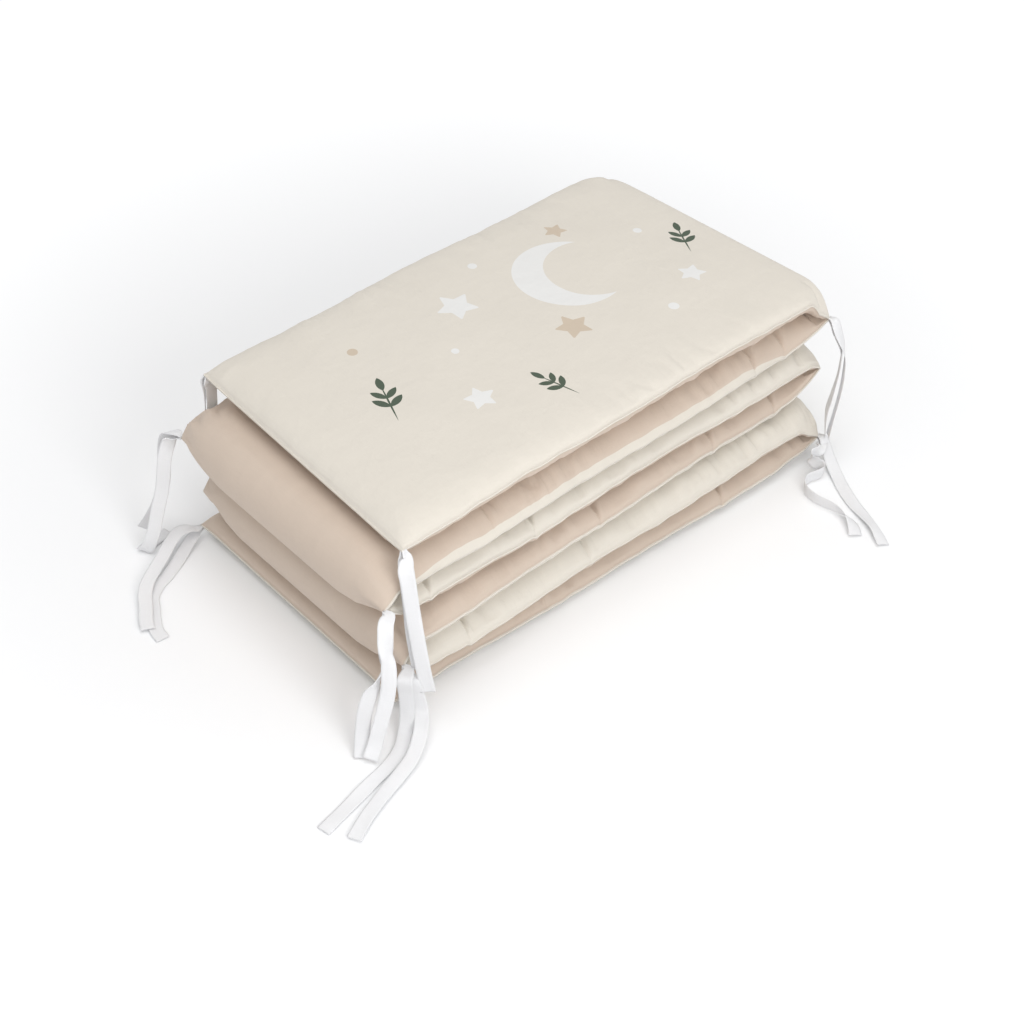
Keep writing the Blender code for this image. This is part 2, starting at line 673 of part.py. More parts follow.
def tie_tape(tape):
    """One tape from the seam to its free end."""
    rows = stub_rows(tape) + [(*point, 1.0) for point in tape["points"]]
    samples = smooth_rows(rows, max(1, round(TAPE_STEPS / len(rows))))
    places = [Vector(sample[:3]) for sample in samples]

    def place(column, row, side):
        before = places[max(column - 1, 0)]
        after = places[min(column + 1, len(places) - 1)]
        along = (after - before).normalized()
        across = width_direction(samples[column][3], samples[column][4], along)
        face = along.cross(across)
        point = places[column] + across * (row - 0.5) * TAPE_WIDTH * samples[column][5]
        point += face * side * TAPE_THICKNESS / 2
        return point

    laid_sheet(tape["name"], len(places), 2, place, finishes["tape_white"])


def make_finish(name):
    colour, roughness, sheen = FINISHES[name]
    finish = bpy.data.materials.new(name)
    finish.use_nodes = True
    shader = finish.node_tree.nodes["Principled BSDF"]
    shader.inputs["Base Color"].default_value = (*colour, 1.0)
    shader.inputs["Roughness"].default_value = roughness
    shader.inputs["Sheen Weight"].default_value = sheen
    shader.inputs["Metallic"].default_value = 0.0
    return finish


for old in list(bpy.data.objects):
    bpy.data.objects.remove(old, do_unlink=True)
part_collection = bpy.data.collections.new("crib_bumper")
bpy.context.scene.collection.children.link(part_collection)
finishes = {name: make_finish(name) for name in FINISHES}

padded_strip()
for tape_row in TAPES:
    tie_tape(tape_row)
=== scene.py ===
"""Looks of a crib bumper that lies folded in six layers: padded cotton strip, cream on one
face and taupe on the other, with white cotton tie tapes in pairs at its seam.

Metres, Z up, in the frame of the solids: the origin is under the middle of the stack. Tables
measure places from the stack's near left corner, and ORIGIN is the origin there. Random shapes
come from a noise that is the same in each run."""
import math
from collections import namedtuple
from types import SimpleNamespace

import bmesh
import bpy
from mathutils import Matrix, Vector, noise


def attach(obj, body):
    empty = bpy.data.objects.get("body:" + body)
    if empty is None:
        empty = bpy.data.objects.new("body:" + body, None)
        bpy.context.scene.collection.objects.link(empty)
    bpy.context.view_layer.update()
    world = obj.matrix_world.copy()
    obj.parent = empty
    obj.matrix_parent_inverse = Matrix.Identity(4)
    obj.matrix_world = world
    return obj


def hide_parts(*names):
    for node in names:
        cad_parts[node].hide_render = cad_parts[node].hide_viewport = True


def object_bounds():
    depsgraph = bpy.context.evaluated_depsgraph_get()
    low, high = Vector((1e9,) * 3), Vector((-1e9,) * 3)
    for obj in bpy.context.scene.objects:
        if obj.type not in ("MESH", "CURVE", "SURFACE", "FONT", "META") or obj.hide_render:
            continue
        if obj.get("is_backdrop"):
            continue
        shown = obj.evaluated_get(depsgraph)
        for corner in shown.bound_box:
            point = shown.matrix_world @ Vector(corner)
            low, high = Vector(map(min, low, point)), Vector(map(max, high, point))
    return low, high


# --- the strip, as its solid has it ---
ORIGIN = Vector((0.29, 0.17, 0.0))
STRIP_WIDTH = 0.343
PAD_THICKNESS = 0.036
LAYER_PITCH = 0.0375
SEAM_THICKNESS = 0.003
EDGE_ROUND = 0.034  # how far in from a seam the pad reaches its full thickness
TURN_RADIUS = LAYER_PITCH / 2
TURN_EDGE_ROUND = 0.090  # the same at a turn, where the filling leaves the corners flat
TURN_BULGE = 0.55  # share of the half thickness that a turn's outer side stands out by
INNER_RADIUS = 0.003  # least radius left on the pinched side of a turn
TIP_REACH = 0.055  # how far in from the seam a turn is drawn to a point
TIP_ROOM = 0.8  # share of the height from a point's fold to its seam that the inner cloth fills
STEEPEST = 0.1  # least slope reckoned with when that height is measured along the cloth's normal
EAR_LENGTH = 0.070  # stretch before a turn over which its corners are pressed flat and lifted
EAR_SHARE = 0.6  # how much of a turn's flatness its layers have where they run into it
EAR_REACH = 0.070  # how far in from the seam the layer under a turn tapers to its corner
EAR_TAPER = 0.8
TAPER_HOLD, TAPER_FADE = 0.45, 0.40  # shares of a turn over which that tapering lasts and ends
CORNER_START, CORNER_RISE = 0.40, 0.30  # the same, where the cloth over a turn starts to square
CORNER_REACH = 0.018  # how far in from the seam the outer cloth over a turn falls to its corner
INNER_FLATNESS = 0.2  # share of a turn's flatness that its inner cloth has
FALL_LENGTH = 0.022  # stretch after a turn over which the corners of its upper layer fall
TIP_CURVE = 1.2  # above 1, a turn's upper seam starts level before it runs down to the point
TOP_CROWN = 0.004  # how much the uppermost layer swells in its middle
EDGE_WAVE = 0.0016  # how far the seam wanders in and out between tucks
WAVES_PER_METRE = 23.0  # in radians
WAVE_SHIFT = 2.1  # from one layer to the next

# --- what the cloth shows beyond its solid ---
STRIP_STEP = 0.0036  # spacing of the sections along a layer
TURN_STEPS = 34
LIP_WIDTH = 0.0014  # rolled edge of the seam, outside its stitching
LIP_HALF = 0.0011
CLOSE = 0.0001  # lengths that differ by less than this count as equal
LIP_EDGE = 0.3  # how far round the lip's roll its outer edge lies
STITCH_HALF = 0.0009  # half thickness where the stitching draws the covers together
BAND_LAYER, BAND_ROLL = 4, 0.0028  # the layer where the cream lip rolls further over, and how far
ROLL_REACH = 0.030
BAND_START, BAND_END, BAND_FADE = 0.005, 0.545, 0.07  # between these places along X
BAND_GROOVE, GROOVE_WIDTH = 0.0007, 0.0009  # stitched groove at the band's border
GATHER_DEPTH = 0.0042  # height of the gathers that run in from the seam
GATHER_START, GATHER_HOLD, GATHER_REACH = 0.006, 0.014, 0.056  # where they rise, last and end
GATHER_BEND = 0.007  # how far they bend to and fro
BROAD_SHARE = 0.9  # height of the broad gathers as a share of the fine ones
PATCH_LENGTH, PATCH_MEAN, PATCH_RANGE, PATCH_LEAST = 0.11, 0.45, 0.9, 0.1  # stronger and weaker stretches
PINCH_DEPTH = 0.0042  # depth of the sharp pinches between gathers
PINCH_SHARPNESS, PINCH_CURVE, PINCH_BEND = 5.0, 1.5, 1.6
TIP_GATHERS = 1.8  # how much stronger they are at the tips of the turns
TOP_GATHERS = 0.5  # and how much weaker on the uppermost cover
RELIEF_RISE = 3.0  # a cover's relief is whole where it has a third of its full thickness
TOP_SWELL = 0.0012  # height of the broad swells of the uppermost cover
TOP_SWELL_START = 0.05
SEAM_SHAKE = 0.0011  # small uneven shifts of the seam
SIDE_SEED, EDGE_SEED, END_SEED = 11.0, 31.0, 5.0  # these tell the patterns of covers and seams apart
TUCK_DEPTH = 0.0085
TUCK_REACH = 0.064
TUCK_DEEPEST = 0.020  # from the seam to where a tuck is deepest
TUCK_LEFT, TUCK_RIGHT = 0.0029, 0.0060  # widths of a tuck's steep side and of its gentle side
TUCK_LEAN, TUCK_SHARPNESS = 0.06, 1.3
TUCK_RIDGE = 0.30  # height of the fold beside a tuck, as a share of its depth
RIDGE_PLACE, RIDGE_WIDTH = 1.5, 0.5  # as shares of the gentle side's width
TUCK_AT_SEAM = 0.30  # share of a tuck's depth and width that is left at the seam
TUCK_DIP, DIP_WIDTH = 0.0030, 1.6  # how far the seam is drawn down at a tuck, and how wide
TUCK_STATIONS = [-0.0070, -0.0045, -0.0030, -0.0018, -0.0009, 0.0, 0.0012, 0.0026, 0.0042, 0.0060,
                 0.0080, 0.0105, 0.0135]  # sections on both sides of a tuck

# --- the tapes ---
TAPE_WIDTH = 0.015
TAPE_THICKNESS = 0.0006
TAPE_STEP = 0.0022
TAPE_COLUMNS = 9
TAPE_CUP = 0.0007  # how far a tape's edges stand off its middle
SEWN_DEPTH = -0.0015  # a tape starts this far inside the seam's edge
STUB_LENGTH = 0.0082
PAIR_OFFSET = 0.0011
PAIR_SPREAD = 0.0020
CORNER_INSET = 0.003
TAPE_SWAY = 9.0  # degrees by which a tape's width turns to and fro along it
SWAY_LENGTH = 0.035
TAPE_SEED = 13.0
CUP_WAVES = 41.0  # per metre, in radians
PLEAT_DEPTH, PLEAT_TURNS = 0.0012, 3  # pleats where it is gathered narrow

# --- the view ---
CAMERA_PLACE = Vector((-0.7437, -1.0135, 1.3879)) - ORIGIN
CAMERA_AZIMUTH = -41.137
CAMERA_ELEVATION = 41.956
CAMERA_ROLL = -0.192
FOCAL_LENGTH_PIXELS = 1867.2
PICTURE_PIXELS = 1024
SENSOR_WIDTH = 36.0  # millimetres, as focal lengths are

# The ends and turns of the strip, from the bottom of the stack to its top:
# place of the turn's centre along X, of the near edge along Y, how far the far edge lies
# further along X than the near edge, how much the corners of the layer under the turn rise and
# those of the layer over it fall, how high between the two seams the turn's point lies, and how
# square the cloth over the turn keeps its corners.
Turn = namedtuple("Turn", "name x y skew lift fall tip box")
TURNS = [
    Turn("lower_end", -0.010, 0.0035, 0.002, 0.0, 0.0, 0.5, 0.0),
    Turn("lower_right", 0.579, -0.009, 0.0, 0.005, 0.0127, 0.41, 0.85),
    Turn("lower_left", 0.014, -0.0085, 0.0, 0.004, 0.0, 0.5, 0.0),
    Turn("middle_right", 0.585, 0.005, 0.0, 0.016, 0.0, 0.54, 0.85),
    Turn("upper_left", 0.0, -0.002, 0.001, 0.005, 0.0, 0.5, 0.0),
    Turn("upper_right", 0.591, 0.0065, -0.018, 0.011, 0.0205, 0.32, 0.85),
    Turn("upper_end", 0.008, 0.002, 0.0135, 0.0, 0.0, 0.5, 0.0),
]
LAYERS = len(TURNS) - 1

# How far each layer's seam hangs below the layer's middle at its left end, halfway and at its
# right end, from the bottom layer up
Droop = namedtuple("Droop", "left middle right")
SEAM_DROOP = [
    Droop(0.0050, 0.0045, 0.0020),
    Droop(0.0090, 0.0060, 0.0030),
    Droop(0.0035, 0.0005, 0.0050),
    Droop(0.0015, 0.0015, 0.0055),
    Droop(0.0065, 0.0085, 0.0075),
    Droop(-0.0015, -0.0080, -0.0085),
]

# Pinched tucks across the seam: layer counted from the bottom, place along X, and how strong
# it is at the near edge and at the far edge
Tuck = namedtuple("Tuck", "layer x near far")
TUCKS = [
    Tuck(0, 0.444, 1.0, 0.0),
    Tuck(0, 0.190, 0.4, 1.0),
    Tuck(1, 0.079, 1.0, 0.0),
    Tuck(1, 0.246, 0.6, 0.8),
    Tuck(2, 0.261, 0.8, 0.0),
    Tuck(2, 0.435, 0.8, 0.7),
    Tuck(2, 0.532, 0.8, 0.0),
    Tuck(3, 0.038, 1.0, 0.0),
    Tuck(3, 0.173, 1.0, 0.6),
    Tuck(3, 0.380, 0.0, 1.0),
    Tuck(4, 0.497, 0.7, 0.0),
    Tuck(4, 0.542, 0.7, 0.5),
    Tuck(4, 0.120, 0.3, 0.9),
]

# Distances from an edge at which the cloth has its points, up to the evenly spaced ones
EDGE_DISTANCES = [
    0.0, 0.0006, 0.0014, 0.0022, 0.0031, 0.0046, 0.0068, 0.0098, 0.0136, 0.0182,
    0.0238, 0.0304, 0.0380, 0.0470,
]
MIDDLE_STEPS = 10

# Random patterns of the cloth: length along the strip, length inward from its seam, and a
# number that tells them apart
PATTERNS = {
    "bend": (0.040, 0.025, 0.0),
    "fine": (0.0100, 0.10, 3.1),
    "broad": (0.034, 0.14, 7.7),
    "pinch": (0.021, 0.085, 5.3),
    "swell": (0.085, 0.070, 4.2),
    "ripple": (0.036, 0.030, 9.6),
    "inset": (0.018, 1.0, 2.5),
    "height": (0.022, 1.0, 8.5),
}

# How a tape leaves the seam, gathered narrow: share of the stub's length, drop, share of width
STUB_SHAPE = [(0.0, 0.0, 0.30), (0.45, 0.0002, 0.45), (1.0, 0.0012, 0.75)]

# Tie tapes, sewn in pairs into the seam of the named end or turn, on the near or the far edge.
# Of a pair, side 1 is the tape that bends down outside the other.
# A tape that leaves the corner of an end sideways says in which direction in plan it leaves, and
# one that hangs straight from its corner gives its steepness, both in degrees.
# Each point has its place in millimetres and the heading of the tape's width in plan, in degrees.
# The rises, where the width is not level, are its slopes at the points, in degrees.
Tape = namedtuple("Tape", "turn edge number side points steepness leaves rises", defaults=(0, None, None))
TAPES = [
    Tape("upper_end", "near", 1, 1, steepness=70, points=[
        (3.9, -8, 193, -34), (2.4, -13, 179.2, -40), (1.3, -17, 157.7, -42), (1.3, -21, 129.8, -42),
        (1.9, -25, 101.3, -42), (3.1, -29, 71.7, -43), (5.1, -32, 45.8, -44),
    ]),
    Tape("upper_end", "near", 2, -1, steepness=70, points=[
        (7.8, -3, 189, -20), (5.6, -8.5, 167, -32), (4.8, -11.5, 143.1, -36), (3.2, -14.5, 123.6, -36),
        (3.3, -18, 94.9, -38), (4.1, -21, 71.6, -38),
    ]),
    Tape("upper_end", "far", 1, 1, steepness=75, points=[
        (25.2, 350, 187.6, 30), (25, 353.5, 172.4, 48), (24.3, 356, 155.2, 49), (23.7, 357.5, 138.3, 50),
        (19.4, 357.5, 106.2, 50), (20, 357.5, 70, 46), (22, 358, 30, 40),
    ]),
    Tape("upper_end", "far", 2, -1, steepness=75, points=[
        (29.3, 346.5, 188.9, 4), (29.4, 348, 177.4, 8), (28.9, 349.5, 160.7, 8), (27.3, 351.2, 140.2, 10),
        (24.1, 352, 114.3, 12), (30, 352.5, 70, 8), (35, 353, 35, 6),
    ]),
    Tape("upper_left", "near", 1, 1, points=[
        (-27, -14, 147.5, -20), (-31.9, -18.5, 139.6, -36), (-34.9, -21.5, 128, -20),
        (-35.2, -23.5, 116.2, 8), (-35.6, -25.5, 103.1, -26), (-37.7, -27.5, 88.2, -38),
        (-41.2, -28.5, 72.1, -42), (-47, -29, 54.1, -42), (-53.7, -29, 34.8, -42), (-61.1, -30, 16.6, -43),
        (-71.1, -34, 5.7, -44),
    ]),
    Tape("upper_left", "near", 2, -1, points=[
        (-23.9, -9, 133.6, -20), (-28.5, -13, 119.6, -30), (-31.7, -16, 106.5, 0), (-36.1, -17, 96.6, 35),
        (-43.1, -16.5, 84.6, 20), (-51.3, -15, 69.7, -25), (-58.5, -14, 50.1, -40), (-64, -15, 26.3, -42),
        (-70.5, -20, 7.7, -43), (-74, -24, 2, -43),
    ]),
    Tape("upper_left", "far", 1, -1, points=[
        (-21.5, 355, 140.5, -12), (-26, 357, 131, -30), (-32, 356, 119, -40), (-36.2, 354.8, 105, -44),
        (-42.3, 354.5, 80, -42), (-52.6, 354.5, 53, -42), (-61, 354.5, 30, -44), (-69, 358, 10, -46),
        (-71, 365, 2.8, -64), (-59, 370, 1.6, -78), (-33, 374, 1.6, -82),
    ]),
    Tape("upper_left", "far", 2, 1, points=[
        (-19.5, 361.5, 143, -16), (-23, 366.5, 129, -38), (-27, 368, 105, -46), (-32, 369, 76, -46),
        (-39, 371, 52, -46), (-48, 377, 30, -44), (-56, 385, 12, -44),
    ]),
    Tape("lower_end", "far", 1, 1, leaves=180, points=[
        (-22, 346.5, 18.5, 100), (-33, 349, 19, 106), (-46, 346, 15, 116), (-62, 337, 11, 122),
        (-80, 326, 9.5, 128), (-98, 314, 8.5, 138), (-110, 301, 7, 152), (-118, 287, 5.5, 158),
        (-127, 274, 4.5, 150), (-134, 259, 4, 158),
    ], rises=[0, 0, 2, 4, 6, 8, 8, 5, 0, 0]),
    Tape("lower_end", "far", 2, -1, leaves=180, points=[
        (-23, 342, 7.5, 98), (-34, 337, 5, 112), (-45, 331, 3, 122), (-59, 323, 1.6, 125),
        (-75, 315, 1.6, 126), (-91, 308, 1.6, 130), (-104, 297, 1.6, 140), (-112, 283, 1.6, 152),
        (-120, 269, 1.6, 150), (-127, 254, 1.6, 160), (-129, 239, 1.6, 172),
    ]),
    Tape("lower_left", "near", 1, -1, points=[
        (-7.6, -22.5, 61.8, -30), (-3.2, -25, 40.8, -40), (-3.1, -30, 19.8, -42), (-16.5, -45.4, 16.5, -48),
        (-36.2, -58.4, 9, -62), (-59, -66.6, 6, -72), (-82.8, -73.5, 4.6, -72), (-104.6, -81.3, 4.2, -69),
        (-122.6, -89, 4, -65), (-140.2, -98.1, 3.6, -63),
    ]),
    Tape("lower_left", "near", 2, 1, points=[
        (-16.2, -23, 69.3, -40), (-15.5, -23, 47.6, -44), (-16.3, -24, 24.5, -44), (-22.8, -28.7, 8.5, -46),
        (-38.4, -40, 3.5, -60), (-59.9, -48.6, 1.6, -70), (-86.1, -54.3, 1.6, -76),
        (-111.6, -60.5, 1.6, -77), (-135.5, -65.7, 1.6, -77), (-155.3, -70.2, 1.6, -77),
    ]),
    Tape("upper_right", "near", 1, -1, points=[
        (616.1, -1, 160.3, 205), (623.5, -5, 135.8, 222), (619.3, -8.5, 109.5, 226),
        (608, -11.5, 83.4, 226), (600.3, -13, 63.9, 226), (605.8, -12, 26.7, 225),
    ]),
    Tape("upper_right", "near", 2, 1, points=[
        (612.5, -5.5, 167.5, 195), (622.3, -10.5, 137, 220), (619.9, -14.5, 111.6, 226),
        (613.1, -18.5, 90.6, 226), (603.9, -21.5, 65.7, 226), (597.3, -22.5, 37.9, 226),
    ]),
    Tape("upper_right", "far", 1, -1, points=[
        (588.5, 360, 168, 185), (587, 361.5, 153, 186), (586, 361, 133, 188), (586, 360, 100, 188),
        (585, 360, 60, 188), (584, 361, 26, 188),
    ]),
    Tape("upper_right", "far", 2, 1, points=[
        (594.5, 363.5, 176, 188), (598.5, 367.5, 167, 200), (602, 369.5, 153, 206), (605, 370, 133, 206),
        (606, 369, 100, 206), (605, 369, 60, 206), (604, 370, 20, 206),
    ]),
    Tape("lower_right", "near", 1, -1, points=[
        (589, -20.5, 24.5, 180), (581, -24, 26, 180), (573.5, -22, 25, 180), (569, -24.5, 23, 180),
        (572, -30, 17, 180), (576.5, -35, 12.8, 180), (574, -40, 10, 180), (565, -39.5, 9, 180),
        (554, -36.5, 8.7, 180), (543, -40, 8.6, 180), (535.5, -50, 8.6, 180), (533.8, -66, 8.6, 180),
        (537.4, -85.8, 8.6, 175), (539, -104, 8.2, 170), (535, -118.6, 5.6, 165), (526.5, -130, 3, 150),
    ], rises=[25, 70, 88, 88, 88, 88, 88, 88, 88, 88, 88, 84, 76, 54, 24, 6]),
    Tape("lower_right", "near", 2, 1, points=[
        (599, -20.5, 21.5, 184), (596.5, -29, 12, 184), (592.5, -39, 6, 176), (586, -52, 2.6, 160),
        (576, -70, 1.6, 150), (565.5, -93, 1.6, 150), (558.5, -115, 2.4, 154), (550, -138, 4, 158),
        (538, -160, 2.6, 150),
    ], rises=[0, 0, 0, 0, 0, 0, 10, 24, 12]),
    Tape("lower_right", "far", 1, -1, points=[
        (595, 348, 22, 182), (589.5, 355, 15, 184), (585.5, 362, 10, 182), (583.5, 371, 3, 178),
        (581.5, 382, 1.6, 176), (578, 398, 1.6, 172), (573.5, 419, 1.6, 170), (572, 442, 1.6, 176),
    ]),
    Tape("lower_right", "far", 2, 1, points=[
        (601, 348, 30, 188), (608, 354, 23, 192), (613, 360, 14, 184), (617.5, 369, 6.5, 172),
        (623, 380, 2, 160), (631.5, 397, 1.6, 154), (642, 416, 1.6, 154), (650, 438, 1.6, 160),
    ]),
]

# --- finishes: linear colours, yarn pitch in metres ---
CREAM = (0.722, 0.676, 0.602)
TAUPE = (0.620, 0.517, 0.431)
TAPE_WHITE = (0.82, 0.82, 0.83)
INK_WHITE = (0.785, 0.78, 0.765)
INK_SAND = (0.603, 0.508, 0.401)
INK_GREEN = (0.076, 0.104, 0.072)
COVER_YARN = 0.00055
TAPE_YARN = 0.0007
SLUB_TONE = 0.045
CLOUD_TONE = 0.05
SLUBS_ACROSS, SLUBS_ALONG, CLOUDS, CREASES = 1400.0, 45.0, 9.0, 26.0  # per metre
WEAVE_STRENGTH, CREASE_STRENGTH = 0.35, 0.6
COVER_CRUMPLE, TAPE_CRUMPLE = 0.0030, 0.0008
COVER_CREAM, COVER_TAUPE, COVER_PRINTED = 0, 1, 2

# Print on the uppermost panel: places in metres from its left end and its near edge
Motif = namedtuple("Motif", "shape ink x y turn size")
SKY_PRINT = [
    Motif("crescent", "white", 0.405, 0.205, -40, 0.062),
    Motif("star", "white", 0.270, 0.240, 8, 0.026),
    Motif("star", "white", 0.185, 0.105, -14, 0.019),
    Motif("star", "white", 0.505, 0.115, 20, 0.017),
    Motif("star", "sand", 0.340, 0.130, -6, 0.022),
    Motif("star", "sand", 0.455, 0.275, 15, 0.015),
    Motif("disc", "white", 0.335, 0.285, 0, 0.0055),
    Motif("disc", "white", 0.215, 0.180, 0, 0.0045),
    Motif("disc", "white", 0.445, 0.085, 0, 0.0060),
    Motif("disc", "white", 0.525, 0.215, 0, 0.0050),
    Motif("disc", "sand", 0.130, 0.250, 0, 0.0060),
]
TWIGS = [
    {"x": 0.105, "y": 0.150, "turn": 70, "scale": 1.7},
    {"x": 0.262, "y": 0.060, "turn": 105, "scale": 1.4},
    {"x": 0.545, "y": 0.160, "turn": 60, "scale": 1.5},
]
# Leaves of a twig, and its stem as the narrowest: place along the stem, angle from it, length,
# and half width as a share of half the length, which LEAF_HALF_WIDTH multiplies
Leaf = namedtuple("Leaf", "along turn length width")
TWIG_LEAVES = [
    Leaf(-0.012, 0, 0.036, 0.09),
    Leaf(0.002, 48, 0.013, 1.0),
    Leaf(0.002, -48, 0.013, 1.0),
    Leaf(0.010, 44, 0.012, 1.0),
    Leaf(0.010, -44, 0.012, 1.0),
    Leaf(0.018, 0, 0.013, 1.0),
]

LEAF_HALF_WIDTH = 0.4
CRESCENT_BITE = {"centre": (0.42, 0.16, 0.0), "radius": 0.84}
STAR_POINTS, STAR_VALLEY, STAR_TRIM = 5, 0.52, 0.93

# --- studio ---
FLOOR_SIZE = 12.0
FLOOR_GAP = 0.0004
FLOOR_GLOW = {"near": 0.02, "far": 0.20}  # light of the floor's own, which keeps it white all round
PAPER_WHITE = (0.918, 0.923, 0.932, 1.0)
GLOW_START, GLOW_END = 0.40, 1.10  # distances from the stack's middle between which it rises
SKY_STRENGTH = 0.60
LAMPS = [
    {"name": "overhead", "place": (-0.4, -0.7, 5.0), "target": (0.0, 0.0, 0.1), "size": 4.5, "power": 98.0},
    {"name": "front", "place": (-0.5, -1.6, 1.1), "target": (0.0, 0.0, 0.1), "size": 0.9, "power": 10.5},
]


def blend(start, end, share):
    """A value that leaves start and reaches end with no slope at either."""
    share = min(max(share, 0.0), 1.0)
    eased = share * share * (3 - 2 * share)
    return start + (end - start) * eased


def rounded(distance, reach):
    """Height of a quarter round, from 0 at distance 0 to 1 at reach and past it."""
    left = 1 - min(max(distance / reach, 0.0), 1.0)
    return math.sqrt(1 - left * left)


def near_start(distance, reach):
    """1 at distance 0, falling smoothly to 0 at reach."""
    return max(0.0, 1 - distance / reach) ** 2


def layer_height(layer):
    return PAD_THICKNESS / 2 + layer * LAYER_PITCH


def heads_right(layer):
    """Whether the strip runs to the right along a layer, on its way from the lower end."""
    return layer % 2 == 0


def seam_droop(layer, x):
    """How far the seam hangs below the middle of a layer at a place along it."""
    left, right = sorted((TURNS[layer].x, TURNS[layer + 1].x))
    share = (x - left) / (right - left)
    droop = SEAM_DROOP[layer]
    if share < 0.5:
        return blend(droop.left, droop.middle, 2 * share)
    return blend(droop.middle, droop.right, 2 * share - 1)


def seam_roll(layer, x):
    """How much further than its lip the cream cover rolls on to the taupe side of a seam."""
    if layer != BAND_LAYER:
        return 0.0
    inside = min(x - BAND_START, BAND_END - x) / BAND_FADE
    return blend(0.0, BAND_ROLL, inside)


def stretch_places(layer):
    """Places along X of a layer's sections, closer together at the strip's two ends."""
    left, right = sorted((TURNS[layer].x, TURNS[layer + 1].x))
    count = round((right - left) / STRIP_STEP)
    places = {left + (right - left) * step / count for step in range(1, count)}
    for tuck in TUCKS:
        if tuck.layer == layer:
            first, last = tuck.x + TUCK_STATIONS[0], tuck.x + TUCK_STATIONS[-1]
            places = {x for x in places if not first - STRIP_STEP / 2 < x < last + STRIP_STEP / 2}
            places.update(tuck.x + away for away in TUCK_STATIONS)
    if layer in (0, LAYERS - 1):
        places = {x for x in places if x - left > EDGE_DISTANCES[-1]}
        places.update(left + distance for distance in EDGE_DISTANCES)
    places.update((left, right))
    return sorted(places, reverse=not heads_right(layer))


def turn_side(layer):
    """The side of the strip on the outside of the turn that follows a layer."""
    return 1 if heads_right(layer) else -1


def plain_station(**values):
    """A section of the strip, with what it has unless the values say otherwise."""
    plain = {"fall": 0.0, "roll": 0.0, "waviness": 0.0, "end_gap": 1.0, "inner": 0, "tip_drop": 0.0,
             "tip_room": 0.0, "tucks": []}
    return SimpleNamespace(**{**plain, **values})


def layer_station(layer, x):
    """The strip's section at a place along a layer."""
    start, end = TURNS[layer], TURNS[layer + 1]
    share = (x - start.x) / (end.x - start.x)
    from_start, to_end = abs(x - start.x), abs(x - end.x)
    after_turn = near_start(from_start, EAR_LENGTH) if layer > 0 else 0.0
    before_turn = near_start(to_end, EAR_LENGTH) if layer < LAYERS - 1 else 0.0
    end_gap = {0: from_start, LAYERS - 1: to_end}.get(layer, 1.0)
    return plain_station(
        x=x,
        z=layer_height(layer),
        normal=(0.0, -1 if heads_right(layer) else 1),
        y=blend(start.y, end.y, share),
        skew=blend(start.skew, end.skew, share),
        droop=seam_droop(layer, x) - end.lift * before_turn,
        fall=start.fall * near_start(from_start, FALL_LENGTH),
        corner=0.0 if before_turn > after_turn else start.box,
        outside=turn_side(layer) if before_turn > after_turn else -turn_side(layer),
        end_gap=end_gap,
        roll=seam_roll(layer, x),
        taper=EAR_TAPER * before_turn,
        flatness=EAR_SHARE * max(before_turn, after_turn),
        waviness=min(from_start, to_end, EAR_LENGTH) / EAR_LENGTH,
        layer=layer,
        tucks=[tuck for tuck in TUCKS if tuck.layer == layer],
    )


def turn_station(layer, share):
    """The strip's section part of the way round the turn from a layer to the one above it. At
    the seams the turn is drawn to a point between the two seams that run into it."""
    turn = TURNS[layer + 1]
    outward = turn_side(layer)
    droop_under = seam_droop(layer, turn.x) - turn.lift
    droop_over = seam_droop(layer + 1, turn.x) + turn.fall
    seam_under = layer_height(layer) - droop_under
    seam_over = layer_height(layer + 1) - droop_over
    tip = seam_under + (seam_over - seam_under) * turn.tip
    outness, upness = math.sin(math.pi * share), -math.cos(math.pi * share)
    round_height = layer_height(layer + 0.5) + TURN_RADIUS * upness
    droop = blend(droop_under, droop_over, share)
    pointed = seam_under + (tip - seam_under) * outness
    if upness > 0:
        pointed = seam_over + (tip - seam_over) * outness ** TIP_CURVE
    return plain_station(
        x=turn.x + outward * TURN_RADIUS * outness,
        z=round_height,
        normal=(outness, upness * outward),
        y=turn.y,
        skew=turn.skew,
        droop=droop,
        corner=blend(0.0, turn.box, (share - CORNER_START) / CORNER_RISE),
        outside=outward,
        taper=EAR_TAPER * (1 - blend(0.0, 1.0, (share - TAPER_HOLD) / TAPER_FADE)),
        flatness=EAR_SHARE + (1 - EAR_SHARE) * outness,
        layer=layer + share,
        inner=-outward,
        tip_drop=round_height - droop - pointed,
        tip_room=TIP_ROOM * abs(pointed - tip) / max(abs(upness), STEEPEST),
    )


def strip_stations():
    """Sections of the strip from its lower end to its upper end, each with its distance from
    the upper end along the strip."""
    stations = []
    for layer in range(LAYERS):
        stations.extend(layer_station(layer, x) for x in stretch_places(layer))
        if layer < LAYERS - 1:
            stations.extend(turn_station(layer, step / TURN_STEPS) for step in range(1, TURN_STEPS))
    stations[-1].run = 0.0
    for station, above in zip(reversed(stations[:-1]), reversed(stations)):
        station.run = above.run + math.dist((station.x, station.z), (above.x, above.z))
    return stations


def lip_half(distance):
    """Half thickness of the seam's rolled edge, out to where the filling starts."""
    if distance < LIP_WIDTH:
        round_lip = LIP_EDGE + (1 - LIP_EDGE) * distance / LIP_WIDTH
        return blend(STITCH_HALF, LIP_HALF, math.sin(math.pi * round_lip))
    return blend(STITCH_HALF, SEAM_THICKNESS / 2, (distance - LIP_WIDTH) / LIP_WIDTH)


